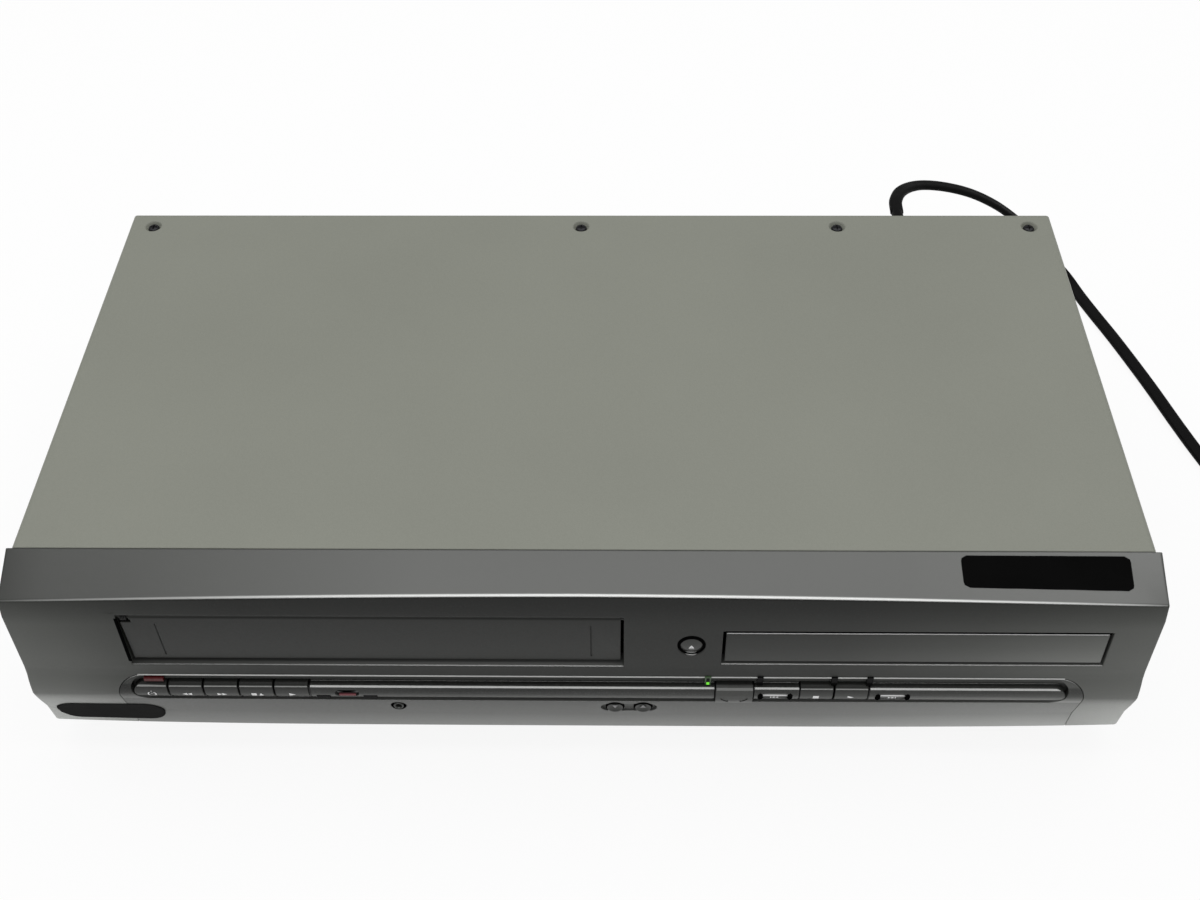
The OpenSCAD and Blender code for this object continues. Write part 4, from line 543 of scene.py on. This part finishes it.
# ---------------------------------------------------------------- mains cord
CORD_W = 6.6
CORD_T = 3.4
CORD_RING = 16                                    # points round the cord
LAYERS = 3
COIL_OUT, COIL_IN = 39.4, 32.6                    # radii of the coil's two columns of turns
COIL_MID = 36.0
TURN_STEPS = 40
CROSS_FROM = 0.72                                 # share of a turn after which it crosses to the next place
LAST_STEPS = 9
LAST_SWEEP = 118                                  # degrees of the last stretch, which lies on the coil
LAST_OUT = 6.0                                    # by which it swings out
LAST_RISE = 0.62                                  # share of the rise to the plug's middle that it takes
CURVE_STEPS = 6
route = [
    (152, 146, 74), (153, 157, 73), (158, 168, 71), (168, 177, 67.5), (182, 182, 63), (198, 185, 56.5),
    (213, 186, 48), (226, 186, 38), (238, 185, 27), (248, 182, 16), (257, 177, 7), (263, 167, 2.4),
    (268, 152, 1.8), (275, 130, 1.8), (284, 98, 1.8), (291, 70, 1.8), (297, 48, 1.8), (304, 26, 1.9),
    (310, 8, 2.2), (314, -10, 2.5),
]
# the bend from the coil's top into the plug: x, y and the share of the rise to the plug's middle
into_plug = [(378.5, -50.2, 0.72), (384.6, -46.6, 0.88), (387.4, -41.6, 0.97)]


def catmull(pts, steps):
    """Smooth curve through the points, with steps between each two."""
    pts = [Vector(p) for p in pts]
    ext = [2 * pts[0] - pts[1]] + pts + [2 * pts[-1] - pts[-2]]
    out = []
    for i in range(len(pts) - 1):
        a, b, c, d = ext[i:i + 4]
        for k in range(steps):
            t = k / steps
            out.append(0.5 * (2 * b + (c - a) * t + (2 * a - 5 * b + 4 * c - d) * t * t
                              + (3 * b - a - 3 * c + d) * t ** 3))
    out.append(pts[-1])
    return out


def winding():
    """Two turns in each layer of the coil, then a third of a turn on top of it and up into the plug."""
    lo, hi = span("cord_coil")
    mid = (lo + hi) / 2
    layer_h = (hi.z - lo.z) / LAYERS
    radii = [COIL_OUT, COIL_IN, COIL_IN, COIL_OUT, COIL_OUT, COIL_IN, COIL_MID]

    def around(r, degrees, z):
        a = math.radians(180 + degrees)
        return mid.x + r * math.cos(a), mid.y + r * math.sin(a), z

    pts = []
    for turn in range(2 * LAYERS):
        layer, next_layer = turn // 2, (turn + 1) // 2
        for k in range(TURN_STEPS):
            t = k / TURN_STEPS
            s = max(0.0, (t - CROSS_FROM) / (1 - CROSS_FROM))
            s = s * s * (3 - 2 * s)
            r = radii[turn] + (radii[turn + 1] - radii[turn]) * s
            pts.append(around(r, 360 * t, lo.z + layer_h * (layer + (next_layer - layer) * s + 0.5)))
    top = hi.z + CORD_T / 2
    rise = (plug_lo.z + plug_hi.z) / 2 - top
    for k in range(LAST_STEPS):
        t = k / LAST_STEPS
        pts.append(around(COIL_MID + LAST_OUT * t, LAST_SWEEP * t, top + rise * t * t * LAST_RISE))
    pts += [(x, y, top + rise * share) for x, y, share in into_plug]
    pts.append(((plug_lo.x + plug_hi.x) / 2, plug_lo.y, top + rise))
    return pts


def flat_twin_ring():
    """Section of a two-lobed flat cord as (across, up) pairs."""
    ring = []
    for k in range(CORD_RING):
        a = 2 * math.pi * k / CORD_RING
        c, s = math.cos(a), math.sin(a)
        waist = 0.80 + 0.20 * min(1.0, abs(c) * 2.4)
        ring.append((math.copysign(CORD_W / 2 * abs(c) ** 0.85, c),
                     math.copysign(CORD_T / 2 * abs(s) ** 0.6 * waist, s)))
    return ring


def cord_tube(path, name):
    """The flat cord swept along a path."""
    ring = flat_twin_ring()
    m, n = len(ring), len(path)
    verts = []
    for i, p in enumerate(path):
        way = (path[min(i + 1, n - 1)] - path[max(i - 1, 0)]).normalized()
        side = Vector((-way.y, way.x, 0)).normalized()
        up = way.cross(side).normalized()
        verts += [(p + side * x + up * y) * MM for x, y in ring]
    faces = [(i * m + k, i * m + (k + 1) % m, (i + 1) * m + (k + 1) % m, (i + 1) * m + k)
             for i in range(n - 1) for k in range(m)]
    faces.append(tuple(range(m)))
    faces.append(tuple((n - 1) * m + k for k in reversed(range(m))))
    return mesh_object(name, verts, faces, cord_mat, "case", smooth=True)


cord_path = catmull(route, CURVE_STEPS) + [Vector(p) for p in winding()[1:]]
cord = cord_tube(cord_path, "mains_cord")
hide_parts("power_cord", "cord_coil")
cord_length = sum((b - a).length for a, b in zip(cord_path, cord_path[1:])) * MM
print("cord length", round(cord_length, 3))


# ---------------------------------------------------------------- outlines, prisms and plates on the front
AHEAD = -200                                      # world Y ahead of the whole front
MARK_T = 0.03
MARK_LIFT = 0.01
SIDES = 48                                        # of turned pieces and rings


def surface_point(node, x, z):
    """Where a level line from the front meets a node, in metres, and the surface's normal there."""
    hit, loc, normal, _ = nodes[node].ray_cast(Vector((x, AHEAD, z)) * MM, Vector((0, 1, 0)))
    return (loc, normal) if hit else (None, None)


def front_y(x, z):
    """Foremost surface of the fixed front at x, z, past the narrow seams."""
    found = []
    for dx, dz in ((0, 0), (0.5, 0), (-0.5, 0), (0, 0.5), (0, -0.5)):
        for n in ("front_bezel", "control_panel", "sensor_window"):
            loc, _ = surface_point(n, x + dx, z + dz)
            if loc is not None:
                found.append(loc.y / MM)
    return min(found, default=NOSE)


def on_face(node, x, z):
    """A map that lays 2-D outlines on the front of a node, round the point x, z."""
    loc, normal = surface_point(node, x, z)
    if loc is None:                               # nothing there: an upright plane near the nose
        loc, normal = Vector((x, NOSE + 1.5, z)) * MM, Vector((0, -1, 0))
    right = Vector((1, 0, 0))
    up = normal.cross(right)
    if up.z < 0:
        up = -up
    up.normalize()

    def place(u, v, lift):
        p = loc + (right * u + up * v) * MM
        q, n = surface_point(node, p.x / MM, p.z / MM)
        if q is None or abs(q.y - p.y) > 2 * MM:  # past the face's edge: its plane goes on
            q, n = p, normal
        return q + n * (lift + MARK_LIFT) * MM
    return place


def upright(x, z, back, lean=0.0):
    """A map that stands 2-D outlines round the point x, z, some way back from the nose."""
    def place(u, v, lift):
        return Vector((x + u, NOSE + back + lean * v - lift, z + v)) * MM
    return place


def outline_mesh(name, polys, to_world, mat, body, thick=MARK_T):
    """Thin plates or raised print: closed 2-D outlines laid on a surface by to_world(u, v, lift)."""
    verts, faces = [], []
    for poly in polys:
        n = len(poly)
        b = len(verts)
        for lift in (0.0, thick):
            verts += [to_world(u, v, lift) for u, v in poly]
        faces.append(tuple(b + n + k for k in range(n)))
        faces.append(tuple(b + k for k in reversed(range(n))))
        faces += [(b + k, b + (k + 1) % n, b + n + (k + 1) % n, b + n + k) for k in range(n)]
    return mesh_object(name, verts, faces, mat, body)


def regular(n, r, turn=0.0, wide=1.0):
    """Regular outline, stretched along x."""
    angles = [turn + 2 * math.pi * k / n for k in range(n)]
    return [(wide * r * math.cos(a), r * math.sin(a)) for a in angles]


def tri(x, y, w, h, way=1):
    return [(x - way * w / 2, y - h / 2), (x + way * w / 2, y), (x - way * w / 2, y + h / 2)]


def bar(x, y, w, h):
    return [(x - w / 2, y - h / 2), (x + w / 2, y - h / 2), (x + w / 2, y + h / 2), (x - w / 2, y + h / 2)]


def ring_band(r, out_r, a0=0.0, a1=2 * math.pi, n=SIDES, rise=0.0):
    """Quads between two arcs, the outer one with its middle higher by rise."""
    angles = [a0 + (a1 - a0) * k / n for k in range(n + 1)]
    return [[(r * math.cos(a), r * math.sin(a)), (out_r * math.cos(a), rise + out_r * math.sin(a)),
             (out_r * math.cos(b), rise + out_r * math.sin(b)), (r * math.cos(b), r * math.sin(b))]
            for a, b in zip(angles, angles[1:])]


def prism_x(name, x0, x1, profile, mat, body):
    """A profile of (back from the nose, height above the table) points run along x."""
    n = len(profile)
    verts = [Vector((x, NOSE + back, z)) * MM for x in (x0, x1) for back, z in profile]
    faces = [(i, (i + 1) % n, n + (i + 1) % n, n + i) for i in range(n)]
    faces += [tuple(range(n)), tuple(n + i for i in reversed(range(n)))]
    return mesh_object(name, verts, faces, mat, body)


def turned(name, x, z, profile, mat, body):
    """Revolve (radius, back from the nose) points round a level axis through x, z."""
    n = len(profile)
    verts = []
    for k in range(SIDES):
        a = 2 * math.pi * k / SIDES
        verts += [Vector((x + r * math.cos(a), NOSE + back, z + r * math.sin(a))) * MM for r, back in profile]
    faces = [(k * n + i, k * n + (i + 1) % n, (k + 1) % SIDES * n + (i + 1) % n, (k + 1) % SIDES * n + i)
             for k in range(SIDES) for i in range(n)]
    return mesh_object(name, verts, faces, mat, body, smooth=True)


def skin_plate(name, x0, x1, rows, radius, lay, mat, smooth, cols):
    """Thin plate with round corners. Its rows run across it, and lay(x, row, level) gives each point of
    the underside (level 0) and of the face (level 1), in metres."""
    grid, verts, faces = {}, [], []
    for level in (0, 1):
        for j, row in enumerate(rows):
            corner = max(0.0, radius - min(row - rows[0], rows[-1] - row))
            cut = radius - math.sqrt(max(0.0, radius ** 2 - corner ** 2))
            for i in range(cols + 1):
                grid[level, j, i] = len(verts)
                verts.append(lay(x0 + cut + (x1 - x0 - 2 * cut) * i / cols, row, level))
    last = len(rows) - 1
    for j in range(last):
        for i in range(cols):
            faces.append([grid[1, j, i], grid[1, j, i + 1], grid[1, j + 1, i + 1], grid[1, j + 1, i]])
            faces.append([grid[0, j + 1, i], grid[0, j + 1, i + 1], grid[0, j, i + 1], grid[0, j, i]])
        for i in (0, cols):
            faces.append([grid[0, j, i], grid[0, j + 1, i], grid[1, j + 1, i], grid[1, j, i]])
    for i in range(cols):
        for j in (0, last):
            faces.append([grid[0, j, i], grid[0, j, i + 1], grid[1, j, i + 1], grid[1, j, i]])
    return mesh_object(name, verts, faces, mat, "case", smooth)


# ---------------------------------------------------------------- pictograms on the keys
MARK_Z = 39.8
marks = {
    "power_button": ring_band(1.3, 1.75, math.radians(125), math.radians(415), 14) + [bar(0, 1.3, 0.45, 1.7)],
    "rewind_button": [tri(-0.95, 0, 1.9, 1.9, -1), tri(0.95, 0, 1.9, 1.9, -1)],
    "fast_forward_button": [tri(-0.95, 0, 1.9, 1.9), tri(0.95, 0, 1.9, 1.9)],
    "stop_eject_button": [bar(-1.3, 0, 2.0, 1.9), [(0.6, -0.9), (2.4, -0.9), (1.5, 1.0)]],
    "vcr_play_button": [tri(0, 0, 2.5, 2.2)],
    "dvd_stop_button": [bar(0, 0, 2.3, 2.1)],
    "dvd_play_button": [tri(0, 0, 2.5, 2.3)],
    "skip_back_button": [tri(-0.6, 0, 1.3, 1.0, -1), tri(0.8, 0, 1.3, 1.0, -1), bar(-1.5, 0, 0.35, 1.0)],
    "skip_forward_button": [tri(-0.8, 0, 1.3, 1.0), tri(0.6, 0, 1.3, 1.0), bar(1.5, 0, 0.35, 1.0)],
    "open_close_button": [[(-1.0, -0.2), (1.0, -0.2), (0, 1.3)], bar(0, -0.75, 2.0, 0.3)],
}
mark_z = {"skip_back_button": 38.3, "skip_forward_button": 38.3, "open_close_button": 68.3}
for key, polys in marks.items():
    lo, hi = span(key)
    place = on_face(key, (lo.x + hi.x) / 2, mark_z.get(key, MARK_Z))
    outline_mesh("mark_" + key, polys, place, ink, key.replace("_button", "_key"))


# ---------------------------------------------------------------- lip and lamps of the key strip's recess
LIP_X0, LIP_X1 = -173.5, 187.0
LIP_BACK, LIP_Z = 2.25, 50.15
LIP_R = 0.32
LAMP_HALF = 1.15
LAMP_GAP = 0.1                                    # between a lamp and the lip
GREEN_X = 49.1
CORE_HALF = 0.65
DOT_HALF = 0.55
lamp_x = [GREEN_X, 69.4, 98.2, 112.0]
power_lamp_x = (-171.4, -163.9)
# profiles of (back from the nose, height above the table) points
lamp_face = [(3.0, 46.6), (1.5, 45.95), (1.35, 46.15), (1.9, 46.9), (1.75, 50.7), (3.0, 50.9)]
core_face = [(1.9, 47.7), (1.72, 47.7), (1.7, 50.0), (1.9, 50.0)]
dot_face = [(1.75, 46.85), (1.3, 46.45), (1.28, 46.6), (1.72, 47.45)]
power_lamp_face = [(3.0, 46.5), (1.55, 46.5), (1.35, 46.8), (1.35, 48.5), (1.6, 48.8), (3.0, 48.8)]


def recess_lip():
    """Lip over the recess, in a light grey that paints its highlight, broken where the lamps cross it."""
    bead = [(LIP_BACK + u, LIP_Z + v) for u, v in regular(10, LIP_R)]
    ends = [LIP_X0] + [x + s * (LAMP_HALF + LAMP_GAP) for x in lamp_x for s in (-1, 1)] + [LIP_X1]
    for k, (x0, x1) in enumerate(zip(ends[::2], ends[1::2])):
        prism_x("recess_lip_%d" % k, x0, x1, bead, highlight_bead_mat, "case")


def strip_lamps():
    """Dark lamp windows over the strip, the first with its lit green dot, and the red one at the left."""
    def window(name, x0, x1, face, mat):
        prism_x(name, x0, x1, face, mat, "case")

    for k, x in enumerate(lamp_x):
        mat = green_ring if x == GREEN_X else lamp_dark
        window("lamp_window_%d" % k, x - LAMP_HALF, x + LAMP_HALF, lamp_face, mat)
    window("lamp_core", GREEN_X - CORE_HALF, GREEN_X + CORE_HALF, core_face, lamp_dark)
    window("lamp_dot", GREEN_X - DOT_HALF, GREEN_X + DOT_HALF, dot_face, green_dot)
    window("power_lamp_window", *power_lamp_x, power_lamp_face, lamp_red)


# ---------------------------------------------------------------- remote-control window
FILTER_X0, FILTER_X1 = -212.8, -169.4
FILTER_Z0, FILTER_Z1 = 15.2, 29.2
FILTER_GAP = 0.03
FILTER_T = 0.14


def window_filter():
    """Dark filter with round ends, laid on the curved front."""
    r = (FILTER_Z1 - FILTER_Z0) / 2
    rows = [FILTER_Z0 + r - r * math.cos(math.pi * j / 10) for j in range(11)]

    def lay(x, z, level):
        return Vector((x, front_y(x, z) - FILTER_GAP - FILTER_T * level, z)) * MM
    skin_plate("window_filter", FILTER_X0, FILTER_X1, rows, r, lay, gloss_black, True, cols=44)


# ---------------------------------------------------------------- round keys
FACE_LEAN = 0.0567                                # how far the face recedes for each mm of height
CHANNEL_Z = 29.8
WELL_R, WELL_OUT_R = 3.3, 3.8
CHANNEL_LEAN = -0.173                             # the lower moulding leans the other way
channel_keys = (("down", 12.95, -1), ("up", 24.1, 1))
# a profile of (radius, back from the nose) points
cap_profile = [(0.02, 2.2), (1.6, 2.05), (2.6, 1.65), (2.9, 1.32), (3.1, 1.36), (3.2, 1.7), (3.2, 2.6),
               (0.02, 2.6)]
EJECT_X, EJECT_Z = 42, 68.8
SURROUND_R, SURROUND_OUT_R = 4.3, 5.4


def channel_caps():
    """Dished caps of the channel keys, each with its arrow and the crescent of shade over it."""
    for way, x, up in channel_keys:
        body = "channel_%s_key" % way
        turned("channel_cap_" + way, x, CHANNEL_Z, cap_profile, cap_mat, body)
        arrow = [(-1.1, -up * 0.7), (1.1, -up * 0.7), (0, up * 1.1)]
        outline_mesh("mark_channel_" + way, [arrow], upright(x, CHANNEL_Z + 0.2, 1.95), ink_dim, body,
                     thick=0.2)
        # dark ring, wider at the top, that paints the shade over the cap
        outline_mesh("channel_well_" + way, ring_band(WELL_R, WELL_OUT_R, rise=1.0),
                     upright(x, CHANNEL_Z, 1.75, CHANNEL_LEAN), shade_mat, "case", thick=0.3)


def open_close_surround():
    """Dark ring round the open/close key that paints the shade of its gap, wider at the top,
    level with the face, whose place is taken well above the key.
    """
    above = EJECT_Z + 6.8
    back = front_y(EJECT_X, above) - NOSE - FACE_LEAN * (above - EJECT_Z)
    place = upright(EJECT_X, EJECT_Z, back + 0.3, FACE_LEAN)
    outline_mesh("open_close_surround", ring_band(SURROUND_R, SURROUND_OUT_R, rise=0.7), place,
                 shade_mat, "case", thick=0.36)


# ---------------------------------------------------------------- painted shade in the flap's and door's gaps
GAP_W = 1.3
GAP_Z0, GAP_STEP, GAP_LEVELS = 58.1, 5.1, 6
GAP_INSET = 3.9                                   # from the end of the flap's pivot to its left edge
DOOR_SIDE = 0.3
DOOR_SHADE_Z = (0.4, 1.2)                          # above the door's top
DOOR_FACE_Z = 1.8                                 # where the face over the seam is measured


def slot_gap_shade():
    """Painted shade of the open gap at the flap's left end, in stacked pieces that follow the face."""
    x1 = flap_x0 + GAP_INSET
    x0 = x1 - GAP_W
    levels = [GAP_Z0 + GAP_STEP * k for k in range(GAP_LEVELS)]
    polys = [[(x0, a), (x1, a), (x1, b), (x0, b)] for a, b in zip(levels, levels[1:])]

    def place(u, v, lift):
        return Vector((u, front_y(x1 - 2.5, v) + 0.2 - lift, v)) * MM
    outline_mesh("slot_gap_shade", polys, place, shade_mat, "case", thick=0.24)


def door_gap_shade():
    """Painted shade of the gap over the drawer's door, just proud of the face."""
    lo, hi = span("tray_door")
    face = front_y((lo.x + hi.x) / 2, hi.z + DOOR_FACE_Z) - NOSE
    low, high = (hi.z + rise for rise in DOOR_SHADE_Z)
    section = [(face + 0.5, low), (face - 0.05, low), (face - 0.05, high), (face + 0.5, high)]
    prism_x("door_gap_shade", lo.x - DOOR_SIDE, hi.x + DOOR_SIDE, section, shade_mat, "case")


# ---------------------------------------------------------------- pill keys and the record key
TIP_GAP = 0.1
TIP_Z = 40.2
HOLLOW_Z = 42.7
BAR_HALF = 3.3
# a profile of (back from the nose, height above the table) points
record_bar_face = [(1.0, 38.6), (0.55, 38.6), (0.4, 39.0), (0.5, 39.7), (1.0, 39.9)]


def record_key():
    """Painted shade of the hollow over the record key, and the red bar along its foot."""
    lo, hi = span("record_button")
    x = (lo.x + hi.x) / 2
    outline_mesh("record_hollow", [regular(24, 1.85, wide=2.55)], upright(x, HOLLOW_Z, 1.0), shade_mat, "case",
                 thick=0.32)
    prism_x("record_bar", x - BAR_HALF, x + BAR_HALF, record_bar_face, record_bar, "record_key")


def pill_tips():
    """Painted shade of the hollows at both ends of the skip keys."""
    ends = []
    for key in ("skip_back_button", "skip_forward_button"):
        lo, hi = span(key)
        ends += [lo.x - TIP_GAP, hi.x + TIP_GAP]
    for k, x in enumerate(ends):
        outline_mesh("pill_tip_%d" % k, [regular(6, 2.1, math.pi / 2, 0.55)], upright(x, TIP_Z, 0.3), shade_mat,
                     "case", thick=0.36)


# ---------------------------------------------------------------- small round socket
SOCKET_X, SOCKET_Z = -73.4, 30.4
# profiles of (radius, back from the nose) points
socket_well_profile = [(0.02, 3.2), (2.95, 3.2), (2.95, 1.5), (2.7, 1.5), (2.7, 3.0), (0.02, 3.0)]
socket_ring_profile = [(1.3, 1.5), (1.5, 1.2), (1.9, 1.15), (2.0, 1.4), (2.0, 3.05), (1.3, 3.05)]


def round_socket():
    """Contact ring of the small round socket, in a well dark with painted shade."""
    turned("socket_well", SOCKET_X, SOCKET_Z, socket_well_profile, shade_mat, "case")
    turned("socket_ring", SOCKET_X, SOCKET_Z - 0.1, socket_ring_profile, cap_mat, "case")


# ---------------------------------------------------------------- output selector
SELECTOR_SIDE = 0.2
STROKE_HALF = 0.16
# a profile of (back from the nose, height above the table) points, hollow behind
selector_face = [(1.5, 46.0), (0.4, 45.7), (-0.4, 44.9), (-0.8, 41.5), (-0.75, 38.4), (-0.2, 36.2),
                 (0.25, 36.05), (0.5, 36.2), (0.5, 36.85), (1.5, 37.5), (1.2, 40.0), (1.2, 44.4), (1.5, 45.5)]


def output_selector():
    """A fuller cap on the selector with two small strokes."""
    body = "output_selector_key"
    x0, x1 = selector_x0 + SELECTOR_SIDE, selector_x1 - SELECTOR_SIDE
    prism_x("selector_cap", x0, x1, selector_face, selector_mat, body)
    middle = (x0 + x1) / 2

    def place(u, v, lift):
        turn_in = max(0.0, 38.4 - v) * 0.25       # the cap's face turns back below its fullest line
        return Vector((middle + u, NOSE - 0.86 - lift + turn_in, v)) * MM

    # the strokes are engraved; their dark colour paints the shade in the grooves
    for k, side in enumerate((-1, 1)):
        pts = [(side * 5.3, 39.9), (side * 4.0, 38.6), (side * 2.4, 37.8)]
        polys = [[(a[0], a[1] - STROKE_HALF), (b[0], b[1] - STROKE_HALF), (b[0], b[1] + STROKE_HALF),
                  (a[0], a[1] + STROKE_HALF)] for a, b in zip(pts, pts[1:])]
        polys.append(bar(side * 2.5, 38.05, 0.3, 0.9))
        outline_mesh("selector_stroke_%d" % k, polys, place, shade_mat, body, thick=0.1)


# ---------------------------------------------------------------- bare sticker on the visor
LABEL_X0, LABEL_X1 = 141.8, 204.9
LABEL_Y0, LABEL_Y1 = -105.0, -92.3
LABEL_R = 2.2
LABEL_GAP = 0.02
LABEL_T = 0.12
ABOVE = 300                                       # height over the whole case
VISOR_TOP = 98.5


def bare_label():
    """Black sticker without its print, laid from above on the front moulding."""
    rows = [LABEL_Y0 + (LABEL_Y1 - LABEL_Y0) * j / 12 for j in range(13)]

    def lay(x, y, level):
        hit, loc, normal, _ = nodes["front_bezel"].ray_cast(Vector((x, y, ABOVE)) * MM, Vector((0, 0, -1)))
        if not hit:
            loc, normal = Vector((x, y, VISOR_TOP)) * MM, Vector((0, 0, 1))
        return loc + normal * (LABEL_GAP + LABEL_T * level) * MM
    skin_plate("bare_label", LABEL_X0, LABEL_X1, rows, LABEL_R, lay, label_mat, False, cols=36)


recess_lip()
strip_lamps()
window_filter()
channel_caps()
open_close_surround()
slot_gap_shade()
door_gap_shade()
record_key()
pill_tips()
round_socket()
output_selector()
bare_label()


# ---------------------------------------------------------------- floor, light and world, in metres
FLOOR_HALF = 4.0
FLOOR_Z = -0.0002
PAPER = (0.93, 0.93, 0.93, 1)
WHITE = (1, 1, 1, 1)
PAPER_GLOW = 0.9                                  # share of plain white in what the camera and reflections see
WORLD_LIGHT = 0.45
AIM = (0, 0, 0.05)
# place, width and depth, and watts
lights = {"key": ((-0.05, 0.45, 1.5), (2.6, 0.9), 12.0), "strip": ((0.0, -0.15, 1.5), (2.6, 0.16), 6.5)}


def floor_paper():
    """Matt white paper, near plain white to camera, glossy and transmission rays."""
    m = bpy.data.materials.new("floor_paper")
    m.use_nodes = True
    t = m.node_tree
    bsdf = t.nodes["Principled BSDF"]
    bsdf.inputs["Base Color"].default_value = PAPER
    bsdf.inputs["Roughness"].default_value = 0.9
    bsdf.inputs["Specular IOR Level"].default_value = 0.1
    white = t.nodes.new("ShaderNodeEmission")
    white.inputs["Color"].default_value = WHITE
    rays = t.nodes.new("ShaderNodeLightPath")
    seen = rays.outputs["Is Camera Ray"]
    for kind in ("Is Glossy Ray", "Is Transmission Ray"):
        either = t.nodes.new("ShaderNodeMath")
        either.operation = "MAXIMUM"
        t.links.new(seen, either.inputs[0])
        t.links.new(rays.outputs[kind], either.inputs[1])
        seen = either.outputs[0]
    share = t.nodes.new("ShaderNodeMath")
    share.operation = "MULTIPLY"
    share.inputs[1].default_value = PAPER_GLOW
    t.links.new(seen, share.inputs[0])
    blend = t.nodes.new("ShaderNodeMixShader")
    for i, socket in enumerate((share.outputs[0], bsdf.outputs[0], white.outputs[0])):
        t.links.new(socket, blend.inputs[i])
    t.links.new(blend.outputs[0], t.nodes["Material Output"].inputs["Surface"])
    return m


def floor_sheet():
    me = bpy.data.meshes.new("floor")
    corners = [(x * FLOOR_HALF, y * FLOOR_HALF, FLOOR_Z) for x, y in ((-1, -1), (1, -1), (1, 1), (-1, 1))]
    me.from_pydata(corners, [], [(0, 1, 2, 3)])
    o = bpy.data.objects.new("floor", me)
    scene.collection.objects.link(o)
    me.materials.append(floor_paper())
    o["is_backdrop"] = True


def area(name, at, size, power):
    light = bpy.data.lights.new(name, "AREA")
    light.shape = "RECTANGLE"
    light.size, light.size_y = size
    light.energy = power
    o = bpy.data.objects.new(name, light)
    scene.collection.objects.link(o)
    o.location = at
    o.rotation_euler = (Vector(AIM) - Vector(at)).to_track_quat("-Z", "Y").to_euler()


def studio():
    floor_sheet()
    for name, (at, size, power) in lights.items():
        area(name, at, size, power)
    w = bpy.data.worlds.new("studio")
    scene.world = w
    w.use_nodes = True
    bg = w.node_tree.nodes["Background"]
    bg.inputs["Color"].default_value = WHITE
    bg.inputs["Strength"].default_value = WORLD_LIGHT


studio()
scene.view_settings.view_transform = "Standard"
lo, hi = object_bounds()
list(lo)
list(hi)
